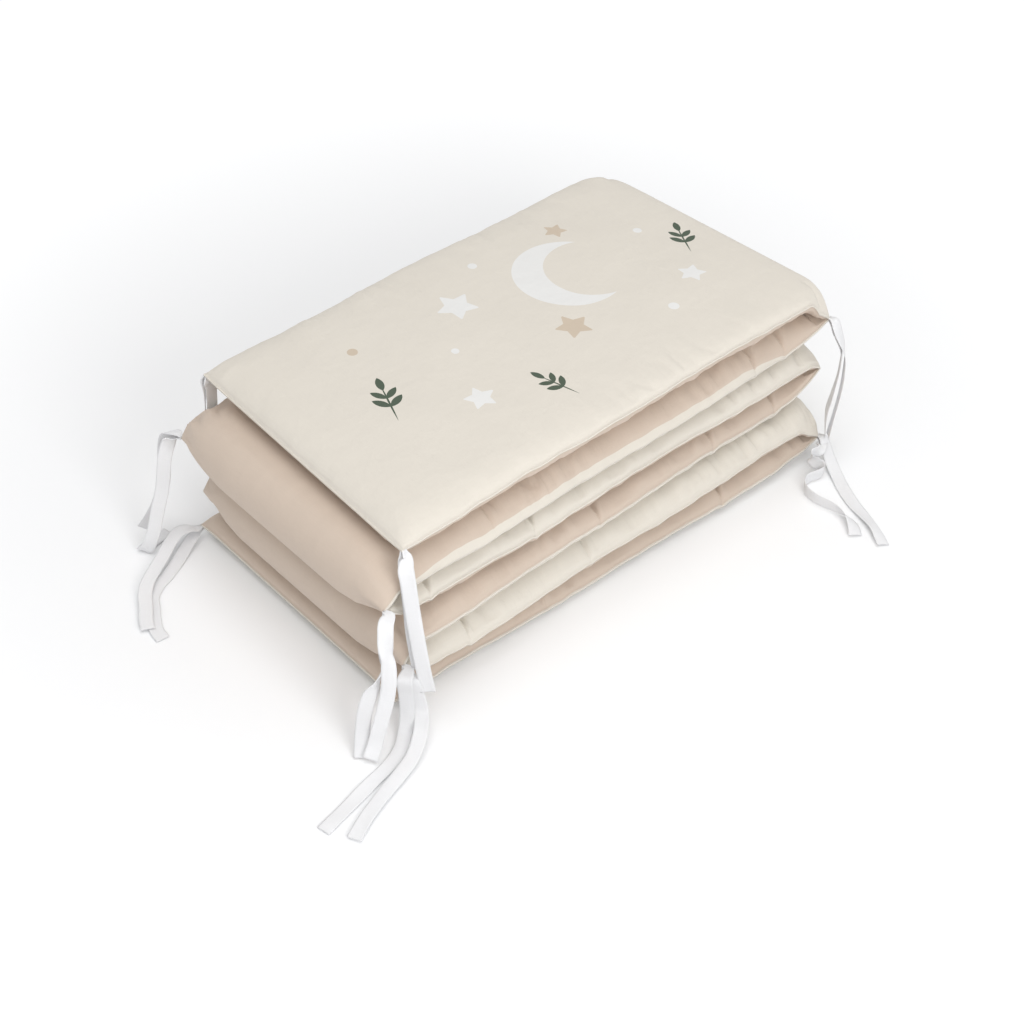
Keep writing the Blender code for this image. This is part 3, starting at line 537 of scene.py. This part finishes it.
def tuck_groove(station, edge_distance, edge):
    """Depth of the tucks at a point: a groove with a steep left side and a fold on its right."""
    depth = 0.0
    inward = blend(TUCK_AT_SEAM, 1.0, edge_distance / TUCK_DEEPEST)
    fade = 1 - blend(0.0, 1.0, (edge_distance - TUCK_DEEPEST) / (TUCK_REACH - TUCK_DEEPEST))
    for tuck in station.tucks:
        away = station.x - tuck.x - TUCK_LEAN * edge_distance
        width = (TUCK_RIGHT if away > 0 else TUCK_LEFT) * inward
        groove = max(0.0, 1 - abs(away) / width) ** TUCK_SHARPNESS
        ridge_away = away - RIDGE_PLACE * TUCK_RIGHT * inward
        ridge = math.exp(-(ridge_away / (RIDGE_WIDTH * TUCK_RIGHT)) ** 2)
        depth += TUCK_DEPTH * getattr(tuck, edge) * inward * fade * (groove - TUCK_RIDGE * ridge)
    return depth


def tuck_dip(station, edge):
    """How far the tucks draw the seam down."""
    dip = 0.0
    for tuck in station.tucks:
        away = station.x - tuck.x
        width = DIP_WIDTH * (TUCK_RIGHT if away > 0 else TUCK_LEFT)
        dip += TUCK_DIP * getattr(tuck, edge) * max(0.0, 1 - abs(away) / width)
    return dip


def pattern(name, along, inward, seed=0.0):
    """Value of a random pattern of the cloth at a place on it, about -1 to 1."""
    length_along, length_inward, shift = PATTERNS[name]
    return noise.noise(Vector((along / length_along, inward / length_inward, seed + shift)))


def gathers(run, edge_distance, seed):
    """Height of the cloth's gathers at a distance from a seam: round swells between pinches."""
    bend = GATHER_BEND * pattern("bend", run, edge_distance, seed)
    fine = pattern("fine", run + bend, edge_distance, seed)
    broad = pattern("broad", run + bend, edge_distance, seed)
    pinch = pattern("pinch", run + PINCH_BEND * bend, edge_distance, seed)
    patch = PATCH_MEAN + PATCH_RANGE * noise.noise(Vector((run / PATCH_LENGTH, seed, 0.5)))
    patch = max(PATCH_LEAST, patch)
    sharp = max(0.0, 1 - PINCH_SHARPNESS * abs(pinch)) ** PINCH_CURVE
    return GATHER_DEPTH * (fine * patch + BROAD_SHARE * broad) - PINCH_DEPTH * patch * sharp


def gather_window(distance):
    """Strength of the gathers at a distance from the seam that they run in from."""
    rise = blend(0.0, 1.0, (distance - LIP_WIDTH) / GATHER_START)
    return rise * (1 - blend(0.0, 1.0, (distance - GATHER_HOLD) / (GATHER_REACH - GATHER_HOLD)))


def top_swell(station, across, inward):
    """Height of the uppermost cover's broad swells."""
    swell = pattern("swell", station.x, across) + 0.5 * pattern("ripple", station.x, across)
    return TOP_SWELL * blend(0.0, 1.0, inward / TOP_SWELL_START) * swell


def cover_relief(station, across, side):
    """How far a cover stands off its solid's face: gathers along the seams and ends, tucks, and
    broad swells on top."""
    edge = "near" if across < STRIP_WIDTH / 2 else "far"
    edge_distance = min(across, STRIP_WIDTH - across)
    end_gap = station.end_gap
    seed = SIDE_SEED * side + (0.0 if edge == "near" else EDGE_SEED)
    on_top = station.layer == LAYERS - 1 and side == 1
    strength = TOP_GATHERS if on_top else 1 + (TIP_GATHERS - 1) * station.flatness
    relief = gather_window(edge_distance) * strength * gathers(station.run, edge_distance, seed)
    relief += gather_window(end_gap) * TOP_GATHERS * gathers(across, end_gap, seed + END_SEED)
    relief -= tuck_groove(station, edge_distance, edge)
    if side == -1 and station.roll:
        border = LIP_WIDTH + station.roll
        groove = BAND_GROOVE * station.roll / BAND_ROLL
        relief -= groove * math.exp(-((edge_distance - border) / GROOVE_WIDTH) ** 2)
    if on_top:
        relief += top_swell(station, across, min(edge_distance, end_gap))
    return relief


def rolled_place(station, across, side):
    """Distance from the near edge of a point of the cover, pushed inward on the taupe side where
    the cream lip rolls over it."""
    edge_distance = min(across, STRIP_WIDTH - across)
    if side != -1:
        return across
    if edge_distance < LIP_WIDTH:
        moved = station.roll * edge_distance / LIP_WIDTH
    else:
        moved = station.roll * near_start(edge_distance - LIP_WIDTH, ROLL_REACH)
    return across + moved if across < STRIP_WIDTH / 2 else across - moved


def pad_fullness(station, edge_distance, outside):
    """Share of the pad's thickness that one side has at a distance from the seam."""
    flatness = station.flatness * (1 - station.corner if outside else INNER_FLATNESS)
    reach = EDGE_ROUND + (TURN_EDGE_ROUND - EDGE_ROUND) * flatness
    fullness = rounded(edge_distance - LIP_WIDTH, reach)
    if outside:
        taper = blend(0.0, 1.0, (edge_distance - LIP_WIDTH) / EAR_REACH)
        fullness += (min(taper, fullness) - fullness) * station.taper
    return fullness * rounded(station.end_gap - LIP_WIDTH, EDGE_ROUND)


def hang(station, edge_distance, outside):
    """How much lower than the pad's middle line a point lies, for the seam that hangs or falls
    and the turn's point."""
    seam_share = near_start(edge_distance, EDGE_ROUND)
    fall_share, tip_share = seam_share, near_start(edge_distance, TIP_REACH)
    if outside:
        fall_share = near_start(edge_distance, CORNER_REACH)
        tip_share += (fall_share - tip_share) * station.corner
    lowered = station.droop * seam_share + station.fall * fall_share
    return lowered + station.tip_drop * tip_share


def seam_inset(station, across):
    """How far the seam wanders inward."""
    wander = EDGE_WAVE * station.waviness
    wander *= math.sin(WAVES_PER_METRE * station.x + WAVE_SHIFT * station.layer)
    return wander + SEAM_SHAKE * pattern("inset", station.run, across)


def top_crown(station, edge_distance, fullness):
    """How much the uppermost cover swells in all."""
    from_turn = TURNS[LAYERS - 1].x - station.x
    inward = min(edge_distance, station.end_gap, from_turn) / (STRIP_WIDTH / 2)
    return TOP_CROWN * fullness * rounded(inward, 1.0)


def strip_point(station, across, side):
    """Place of a point of the strip: side is 1 on the cream cover, -1 on the taupe one and 0 on
    the seam between them."""
    rim_distance = min(across, STRIP_WIDTH - across, station.end_gap)
    across = rolled_place(station, across, side)
    edge = "near" if across < STRIP_WIDTH / 2 else "far"
    edge_distance = min(across, STRIP_WIDTH - across)
    outside = side == station.outside
    fullness = pad_fullness(station, edge_distance, outside)
    half = lip_half(rim_distance) + (PAD_THICKNESS - SEAM_THICKNESS) / 2 * fullness
    if side:
        half += cover_relief(station, across, side) * min(1.0, RELIEF_RISE * fullness)
    sideways = station.normal[0]
    if side == station.inner:
        pointedness = near_start(edge_distance, TIP_REACH)
        half = min(half, blend(TURN_RADIUS - INNER_RADIUS, station.tip_room, pointedness))
    elif station.inner:
        sideways *= TURN_BULGE
    offset = side * half
    seam_share = near_start(edge_distance, EDGE_ROUND)
    height = station.z + station.normal[1] * offset - hang(station, edge_distance, outside)
    height += (SEAM_SHAKE * pattern("height", station.run, across) - tuck_dip(station, edge)) * seam_share
    if station.layer == LAYERS - 1 and side == 1:
        height += top_crown(station, edge_distance, fullness)
    inset = seam_inset(station, across) * seam_share
    return Vector((
        station.x + sideways * offset + station.skew * across / STRIP_WIDTH,
        station.y + across + (inset if edge == "near" else -inset),
        max(height, 0.0),
    ))


def across_distances():
    """Distances from the near edge of the points across the strip, closer at the seams."""
    first = EDGE_DISTANCES[-1]
    middle = [first + (STRIP_WIDTH - 2 * first) * step / MIDDLE_STEPS for step in range(1, MIDDLE_STEPS)]
    return EDGE_DISTANCES + middle + [STRIP_WIDTH - distance for distance in reversed(EDGE_DISTANCES)]


def laid_sheet(name, columns, rows, place, flat_place, finish_of, finishes):
    """A closed body: a flat sheet of columns by rows points with two faces. place moves each
    point, flat_place gives its UV in metres and finish_of picks a face's finish from the
    columns, rows and sides of its corners."""
    sheet = bmesh.new()
    bmesh.ops.create_grid(sheet, x_segments=columns - 1, y_segments=rows - 1, size=0.5)
    bmesh.ops.solidify(sheet, geom=sheet.faces[:], thickness=0.1)
    grid_place = {}
    for vert in sheet.verts:
        column = round((vert.co.x + 0.5) * (columns - 1))
        row = round((vert.co.y + 0.5) * (rows - 1))
        grid_place[vert] = (column, row, 1 if vert.co.z > -0.05 else -1)
    flat = sheet.loops.layers.uv.new("cloth")
    for face in sheet.faces:
        corners = [grid_place[loop.vert] for loop in face.loops]
        for loop, (column, row, side) in zip(face.loops, corners):
            loop[flat].uv = flat_place(column, row, side)
        face.material_index = finish_of(*zip(*corners))
        face.smooth = True
    for vert, (column, row, side) in grid_place.items():
        vert.co = place(column, row, side) - ORIGIN
    if sheet.calc_volume(signed=True) < 0:
        bmesh.ops.reverse_faces(sheet, faces=sheet.faces[:])
    mesh = bpy.data.meshes.new(name)
    sheet.to_mesh(mesh)
    sheet.free()
    for finish in finishes:
        mesh.materials.append(finish)
    body = bpy.data.objects.new(name, mesh)
    bpy.context.scene.collection.objects.link(body)
    return body


def padded_strip():
    """The filled strip: two covers that meet at the rolled seam."""
    stations = strip_stations()
    distances = across_distances()

    def flat_place(column, row, side):
        return stations[column].run, rolled_place(stations[column], distances[row], side)

    def finish_of(columns, rows, sides):
        station = stations[min(columns)]
        rim = min(distances[min(rows)], STRIP_WIDTH - distances[max(rows)], station.end_gap)
        if set(sides) == {-1} and rim > LIP_WIDTH - CLOSE:
            return COVER_TAUPE
        if set(sides) == {1} and station.layer >= LAYERS - 1:
            return COVER_PRINTED
        return COVER_CREAM

    return laid_sheet(
        "padded_cotton_strip",
        len(stations),
        len(distances),
        lambda column, row, side: strip_point(stations[column], distances[row], side),
        flat_place,
        finish_of,
        [cream_cotton(), taupe_cotton(), printed_cotton()],
    )


def smooth_rows(rows, spacing):
    """Rows of values on a smooth curve through a table's rows, about spacing apart. The first
    three values of a row are its place, and distances set how fast all vary."""
    knots = [0.0]
    for before, after in zip(rows, rows[1:]):
        knots.append(knots[-1] + math.dist(before[:3], after[:3]))
    slopes = []
    for index in range(len(rows)):
        low, high = max(index - 1, 0), min(index + 1, len(rows) - 1)
        reach = knots[high] - knots[low]
        slopes.append([(b - a) / reach for a, b in zip(rows[low], rows[high])])
    samples = []
    for index in range(len(rows) - 1):
        length = knots[index + 1] - knots[index]
        steps = max(1, round(length / spacing))
        for step in range(steps):
            t = step / steps
            weights = (1 - 3 * t * t + 2 * t ** 3, (t - 2 * t * t + t ** 3) * length,
                       3 * t * t - 2 * t ** 3, (t ** 3 - t * t) * length)
            parts = zip(rows[index], slopes[index], rows[index + 1], slopes[index + 1])
            samples.append([sum(w * value for w, value in zip(weights, values)) for values in parts])
    return samples + [list(rows[-1])]


def seam_place(turn_name, edge):
    """Place of the seam at an end's corner or at the tip of a turn."""
    index = [turn.name for turn in TURNS].index(turn_name)
    if index == 0:
        station = layer_station(0, TURNS[0].x)
    elif index == LAYERS:
        station = layer_station(LAYERS - 1, TURNS[LAYERS].x)
    else:
        station = turn_station(index - 1, 0.5)
    station.run = 0.0
    return strip_point(station, 0.0 if edge == "near" else STRIP_WIDTH, 0)


def stub_rows(tape):
    """A tape's first rows, gathered narrow and straight out of the seam, with its width level."""
    leaving = tape.leaves or (90.0 if tape.edge == "far" else -90.0)
    heading = leaving - 90.0 if leaving > 0 else leaving + 90.0
    if tape.turn.endswith("right"):
        heading += 180.0
    outward = Vector((math.cos(math.radians(leaving)), math.sin(math.radians(leaving)), 0.0))
    steepness = math.radians(tape.steepness)
    start = outward * math.cos(steepness) - Vector((0.0, 0.0, math.sin(steepness)))
    root = seam_place(tape.turn, tape.edge)
    if tape.turn.endswith("end"):
        corner_to_middle = 1 if tape.edge == "near" else -1
        root += CORNER_INSET * Vector((abs(outward.y), abs(outward.x) * corner_to_middle, 0.0))
    aside = outward * math.sin(steepness) + Vector((0.0, 0.0, math.cos(steepness)))
    rows = []
    for share, drop, width in STUB_SHAPE:
        place = root + outward * SEWN_DEPTH + start * STUB_LENGTH * share
        place += aside * tape.side * (PAIR_OFFSET + PAIR_SPREAD * share)
        rows.append((place.x, place.y, place.z - drop, heading, 0.0, width))
    return rows


def traced_rows(tape):
    """A tape's further rows, at its full width."""
    rises = tape.rises or [0] * len(tape.points)
    return [
        (x / 1000, y / 1000, z / 1000, heading, rise, 1.0)
        for (x, y, z, heading), rise in zip(tape.points, rises)
    ]


def width_direction(heading, rise, along):
    """Unit vector across a tape, square to its run."""
    level = math.cos(math.radians(rise))
    across = Vector((
        level * math.cos(math.radians(heading)),
        level * math.sin(math.radians(heading)),
        math.sin(math.radians(rise)),
    ))
    across -= along * across.dot(along)
    return across.normalized()


def tape_name(tape):
    return f"tape_{tape.turn}_{tape.edge}_{tape.number}"


def tie_tape(tape, finish):
    """One tape from inside the seam to its cut end, and its length."""
    samples = smooth_rows(stub_rows(tape) + traced_rows(tape), TAPE_STEP)
    places = [Vector(sample[:3]) for sample in samples]
    lengths = [0.0]
    for before, after in zip(places, places[1:]):
        lengths.append(lengths[-1] + (after - before).length)

    seed = TAPE_SEED * TAPES.index(tape)

    def place(column, row, side):
        before = places[max(column - 1, 0)]
        after = places[min(column + 1, len(places) - 1)]
        along = (after - before).normalized()
        sway = TAPE_SWAY * min(1.0, lengths[column] / SWAY_LENGTH)
        sway *= noise.noise(Vector((lengths[column] / SWAY_LENGTH, seed, 0.7)))
        across = width_direction(samples[column][3] + sway, samples[column][4] + sway, along)
        face = along.cross(across)
        sideways = 2 * row / (TAPE_COLUMNS - 1) - 1
        width = samples[column][5]
        pleats = (1 - width) * PLEAT_DEPTH * math.cos(sideways * PLEAT_TURNS * math.pi)
        cup = TAPE_CUP * (sideways ** 2 - 0.5) * width
        cup *= math.sin(CUP_WAVES * lengths[column] + tape.side)
        point = places[column] + across * sideways * TAPE_WIDTH / 2 * width + face * (cup + pleats)
        point.z = max(point.z, TAPE_THICKNESS / 2)
        return point + face * side * TAPE_THICKNESS / 2

    piece = laid_sheet(
        "woven_" + tape_name(tape),
        len(places),
        TAPE_COLUMNS,
        place,
        lambda column, row, side: (lengths[column], TAPE_WIDTH * row / (TAPE_COLUMNS - 1)),
        lambda columns, rows, sides: 0,
        [finish],
    )
    return piece, lengths[-1]


# --- finishes ---


class Net:
    """A node tree with short ways to add its nodes. A value may be a number or a socket."""

    def __init__(self, tree):
        self.tree = tree

    def node(self, kind, **settings):
        made = self.tree.nodes.new(kind)
        for name, value in settings.items():
            setattr(made, name, value)
        return made

    def put(self, socket, value):
        if isinstance(value, bpy.types.NodeSocket):
            self.tree.links.new(value, socket)
        else:
            socket.default_value = value

    def math(self, operation, *values):
        made = self.node("ShaderNodeMath", operation=operation)
        for socket, value in zip(made.inputs, values):
            self.put(socket, value)
        return made.outputs[0]

    def mix(self, share, first, second):
        made = self.node("ShaderNodeMix", data_type="RGBA")
        self.put(made.inputs["Factor"], share)
        self.put(made.inputs["A"], first)
        self.put(made.inputs["B"], second)
        return made.outputs["Result"]

    def noise(self, place, scale, detail=2.0, roughness=0.5):
        made = self.node("ShaderNodeTexNoise")
        self.put(made.inputs["Vector"], place)
        self.put(made.inputs["Scale"], scale)
        self.put(made.inputs["Detail"], detail)
        self.put(made.inputs["Roughness"], roughness)
        return made.outputs["Fac"]

    def stretched(self, place, scale):
        made = self.node("ShaderNodeMapping")
        self.put(made.inputs["Vector"], place)
        made.inputs["Scale"].default_value = scale
        return made.outputs[0]

    def bump(self, height, distance, strength, below=None):
        made = self.node("ShaderNodeBump")
        self.put(made.inputs["Height"], height)
        self.put(made.inputs["Distance"], distance)
        self.put(made.inputs["Strength"], strength)
        if below is not None:
            self.put(made.inputs["Normal"], below)
        return made.outputs[0]


def new_finish(name):
    finish = bpy.data.materials.new(name)
    finish.use_nodes = True
    net = Net(finish.node_tree)
    net.shader = finish.node_tree.nodes["Principled BSDF"]
    uv = net.node("ShaderNodeUVMap", uv_map="cloth")
    net.cloth = uv.outputs[0]
    return finish, net


def woven_cotton(net, colour, yarn_pitch, roughness, sheen, crumple, ink=None):
    """Plain-woven cotton: crossing yarns, their uneven thickness and tone, and soft crumples.
    ink is a list of (mask, colour) printed on it."""
    split = net.node("ShaderNodeSeparateXYZ")
    net.put(split.inputs[0], net.cloth)
    turns = 2 * math.pi / yarn_pitch
    warp = net.math("SINE", net.math("MULTIPLY", split.outputs["X"], turns))
    weft = net.math("SINE", net.math("MULTIPLY", split.outputs["Y"], turns))
    weave = net.math("MULTIPLY", warp, weft)
    warp_slubs = net.noise(net.stretched(net.cloth, (SLUBS_ACROSS, SLUBS_ALONG, 1.0)), 1.0)
    weft_slubs = net.noise(net.stretched(net.cloth, (SLUBS_ALONG, SLUBS_ACROSS, 1.0)), 1.0)
    slubs = net.math("ADD", warp_slubs, weft_slubs)
    tone = net.noise(net.cloth, CLOUDS, detail=3.0)
    shade = net.math("ADD", net.math("MULTIPLY", slubs, SLUB_TONE), net.math("MULTIPLY", tone, CLOUD_TONE))
    shade = net.math("ADD", shade, 1.0 - SLUB_TONE - 0.5 * CLOUD_TONE)
    painted = net.node("ShaderNodeVectorMath", operation="SCALE")
    painted.inputs[0].default_value = colour
    net.put(painted.inputs["Scale"], shade)
    surface = painted.outputs[0]
    for mask, ink_colour in ink or []:
        surface = net.mix(mask, surface, (*ink_colour, 1.0))
    net.put(net.shader.inputs["Base Color"], surface)
    creases = net.noise(net.stretched(net.cloth, (1.0, 1.3, 1.0)), CREASES, detail=4.0, roughness=0.55)
    soft = net.bump(creases, crumple, CREASE_STRENGTH)
    height = net.math("ADD", net.math("MULTIPLY", weave, 0.5), slubs)
    net.put(net.shader.inputs["Normal"], net.bump(height, yarn_pitch / 3, WEAVE_STRENGTH, soft))
    net.shader.inputs["Roughness"].default_value = roughness
    net.shader.inputs["Sheen Weight"].default_value = sheen
    net.shader.inputs["Sheen Roughness"].default_value = 0.5
    net.shader.inputs["Specular IOR Level"].default_value = 0.25


def cream_cotton():
    finish, net = new_finish("cotton_cream")
    woven_cotton(net, CREAM, COVER_YARN, 0.88, 0.15, COVER_CRUMPLE)
    return finish


def taupe_cotton():
    finish, net = new_finish("cotton_taupe")
    woven_cotton(net, TAUPE, COVER_YARN, 0.85, 0.12, COVER_CRUMPLE)
    return finish


def shape_group(name, build):
    """A node group from a point to 1 inside a shape of unit size and 0 outside it."""
    group = bpy.data.node_groups.new(name, "ShaderNodeTree")
    group.interface.new_socket("Point", in_out="INPUT", socket_type="NodeSocketVector")
    group.interface.new_socket("Inside", in_out="OUTPUT", socket_type="NodeSocketFloat")
    net = Net(group)
    point = net.node("NodeGroupInput").outputs[0]
    net.put(net.node("NodeGroupOutput").inputs[0], build(net, point))
    return group


def in_disc(net, point, centre=(0.0, 0.0, 0.0), radius=1.0):
    apart = net.node("ShaderNodeVectorMath", operation="DISTANCE")
    net.put(apart.inputs[0], point)
    apart.inputs[1].default_value = centre
    return net.math("LESS_THAN", apart.outputs["Value"], radius)


def disc_shape(net, point):
    return in_disc(net, point)


def crescent_shape(net, point):
    bite = in_disc(net, point, **CRESCENT_BITE)
    return net.math("MULTIPLY", in_disc(net, point), net.math("SUBTRACT", 1.0, bite))


def leaf_shape(net, point):
    """Two arcs that meet at the leaf's tips, at -1 and 1 along X."""
    radius = (1 + LEAF_HALF_WIDTH ** 2) / (2 * LEAF_HALF_WIDTH)
    upper = in_disc(net, point, (0.0, LEAF_HALF_WIDTH - radius, 0.0), radius)
    lower = in_disc(net, point, (0.0, radius - LEAF_HALF_WIDTH, 0.0), radius)
    return net.math("MULTIPLY", upper, lower)


def star_shape(net, point):
    """The angle is folded into one half point, whose edge is a straight line."""
    fold = math.pi / STAR_POINTS
    tip, valley = Vector((1.0, 0.0)), STAR_VALLEY * Vector((math.cos(fold), math.sin(fold)))
    edge = (valley - tip).orthogonal().normalized()
    edge = edge if edge.dot(tip) > 0 else -edge
    split = net.node("ShaderNodeSeparateXYZ")
    net.put(split.inputs[0], point)
    angle = net.math("PINGPONG", net.math("ARCTAN2", split.outputs["X"], split.outputs["Y"]), fold)
    length = net.node("ShaderNodeVectorMath", operation="LENGTH")
    net.put(length.inputs[0], point)
    lean = net.math("ADD", net.math("MULTIPLY", net.math("COSINE", angle), edge.x),
                    net.math("MULTIPLY", net.math("SINE", angle), edge.y))
    inside_edge = net.math("LESS_THAN", net.math("MULTIPLY", length.outputs["Value"], lean), edge.dot(tip))
    return net.math("MULTIPLY", inside_edge, in_disc(net, point, radius=STAR_TRIM))


def placed(net, group, x, y, turn, half_length, half_width):
    """A shape's mask at a place on the cloth, in metres, turned by an angle in degrees."""
    mapping = net.node("ShaderNodeMapping", vector_type="TEXTURE")
    net.put(mapping.inputs["Vector"], net.cloth)
    mapping.inputs["Location"].default_value = (x, y, 0.0)
    mapping.inputs["Rotation"].default_value = (0.0, 0.0, math.radians(turn))
    mapping.inputs["Scale"].default_value = (half_length, half_width, 1.0)
    shape = net.node("ShaderNodeGroup", node_tree=group)
    net.put(shape.inputs[0], mapping.outputs[0])
    return shape.outputs[0]


def any_of(net, masks):
    whole = masks[0]
    for mask in masks[1:]:
        whole = net.math("MAXIMUM", whole, mask)
    return whole


def twig_masks(net, leaf, x, y, turn, scale):
    """A twig: a thin stem, leaves in pairs along it and one at its tip."""
    masks = []
    along = Vector((math.cos(math.radians(turn)), math.sin(math.radians(turn))))
    for row in TWIG_LEAVES:
        base = Vector((x, y)) + along * row.along * scale
        angle = turn + row.turn
        outward = Vector((math.cos(math.radians(angle)), math.sin(math.radians(angle))))
        centre = base + outward * row.length / 2 * scale
        half = row.length / 2 * scale
        masks.append(placed(net, leaf, centre.x, centre.y, angle, half, half * row.width))
    return masks


def printed_cotton():
    """The cream cover of the uppermost panel, with a generic night-sky print."""
    finish, net = new_finish("cotton_cream_printed")
    disc = shape_group("disc", disc_shape)
    crescent = shape_group("crescent", crescent_shape)
    leaf = shape_group("leaf", leaf_shape)
    star = shape_group("star", star_shape)
    groups = {"disc": disc, "crescent": crescent, "star": star}
    ink = []
    for tint, colour in (("sand", INK_SAND), ("white", INK_WHITE)):
        masks = [
            placed(net, groups[row.shape], row.x, row.y, row.turn, row.size, row.size)
            for row in SKY_PRINT if row.ink == tint
        ]
        ink.append((any_of(net, masks), colour))
    twigs = [mask for row in TWIGS for mask in twig_masks(net, leaf, **row)]
    ink.append((any_of(net, twigs), INK_GREEN))
    woven_cotton(net, CREAM, COVER_YARN, 0.88, 0.15, COVER_CRUMPLE, ink)
    return finish


def tape_cotton():
    finish, net = new_finish("woven_tape_white")
    woven_cotton(net, TAPE_WHITE, TAPE_YARN, 0.8, 0.1, TAPE_CRUMPLE)
    return finish


# --- the view ---


def make_camera():
    azimuth, elevation, roll = (math.radians(a) for a in (CAMERA_AZIMUTH, CAMERA_ELEVATION, CAMERA_ROLL))
    back = Vector((
        math.sin(azimuth) * math.cos(elevation),
        -math.cos(azimuth) * math.cos(elevation),
        math.sin(elevation),
    ))
    right = Vector((0, 0, 1)).cross(back).normalized()
    up = back.cross(right)
    rolled_right = right * math.cos(roll) + up * math.sin(roll)
    rolled_up = up * math.cos(roll) - right * math.sin(roll)
    data = bpy.data.cameras.new("camera")
    data.sensor_width = SENSOR_WIDTH
    data.lens = SENSOR_WIDTH * FOCAL_LENGTH_PIXELS / PICTURE_PIXELS
    camera = bpy.data.objects.new("camera", data)
    turned = Matrix((rolled_right, rolled_up, back)).transposed()
    camera.matrix_world = Matrix.Translation(CAMERA_PLACE) @ turned.to_4x4()
    bpy.context.scene.collection.objects.link(camera)
    bpy.context.scene.camera = camera


def make_light(name, place, target, size, power):
    data = bpy.data.lights.new(name, "AREA")
    data.shape = "DISK"
    data.size = size
    data.energy = power
    lamp = bpy.data.objects.new(name, data)
    lamp.location = place
    lamp.rotation_euler = (Vector(target) - Vector(place)).to_track_quat("-Z", "Y").to_euler()
    bpy.context.scene.collection.objects.link(lamp)


def white_paper():
    """The floor's finish: matt white, with a glow of its own that grows away from the stack."""
    paper = bpy.data.materials.new("white_paper")
    paper.use_nodes = True
    shader = paper.node_tree.nodes["Principled BSDF"]
    shader.inputs["Base Color"].default_value = PAPER_WHITE
    shader.inputs["Roughness"].default_value = 1.0
    shader.inputs["Specular IOR Level"].default_value = 0.0
    shader.inputs["Emission Color"].default_value = (1.0, 1.0, 1.0, 1.0)
    net = Net(paper.node_tree)
    distance = net.node("ShaderNodeVectorMath", operation="LENGTH")
    net.put(distance.inputs[0], net.node("ShaderNodeTexCoord").outputs["Object"])
    glow = net.node("ShaderNodeMapRange", interpolation_type="SMOOTHSTEP")
    limits = (GLOW_START, GLOW_END, FLOOR_GLOW["near"], FLOOR_GLOW["far"])
    for socket, value in zip(glow.inputs, (distance.outputs["Value"], *limits)):
        net.put(socket, value)
    net.put(shader.inputs["Emission Strength"], glow.outputs[0])
    return paper


def make_floor():
    floor = bmesh.new()
    bmesh.ops.create_grid(floor, x_segments=1, y_segments=1, size=FLOOR_SIZE / 2)
    bmesh.ops.translate(floor, verts=floor.verts, vec=(0.0, 0.0, -FLOOR_GAP))
    mesh = bpy.data.meshes.new("floor")
    floor.to_mesh(mesh)
    floor.free()
    mesh.materials.append(white_paper())
    ground = bpy.data.objects.new("floor", mesh)
    bpy.context.scene.collection.objects.link(ground)
    ground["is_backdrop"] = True


def make_studio():
    """A white floor under an even pale sky, with a large soft lamp overhead and one in front."""
    make_floor()
    sky = bpy.data.worlds.new("studio")
    sky.use_nodes = True
    background = sky.node_tree.nodes["Background"]
    background.inputs["Color"].default_value = (1.0, 1.0, 1.0, 1.0)
    background.inputs["Strength"].default_value = SKY_STRENGTH
    bpy.context.scene.world = sky
    for row in LAMPS:
        make_light(**row)
    bpy.context.scene.view_settings.view_transform = "Standard"


def corners(box):
    return [list(corner) for corner in box]


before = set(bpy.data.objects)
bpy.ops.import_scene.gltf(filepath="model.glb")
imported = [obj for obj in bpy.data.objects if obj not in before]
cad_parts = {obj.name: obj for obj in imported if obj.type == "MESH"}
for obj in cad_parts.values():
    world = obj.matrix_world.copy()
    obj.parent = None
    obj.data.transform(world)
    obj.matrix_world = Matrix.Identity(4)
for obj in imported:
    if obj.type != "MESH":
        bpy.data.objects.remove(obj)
cad_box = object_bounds()
make_camera()
make_studio()

strip = padded_strip()
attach(strip, "root")
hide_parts("padded_strip")

tape_finish = tape_cotton()
for tape_row in TAPES:
    woven_tape, tape_length = tie_tape(tape_row, tape_finish)
    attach(woven_tape, "root")
    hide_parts(tape_name(tape_row))

{"cad": corners(cad_box), "visual": corners(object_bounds())}
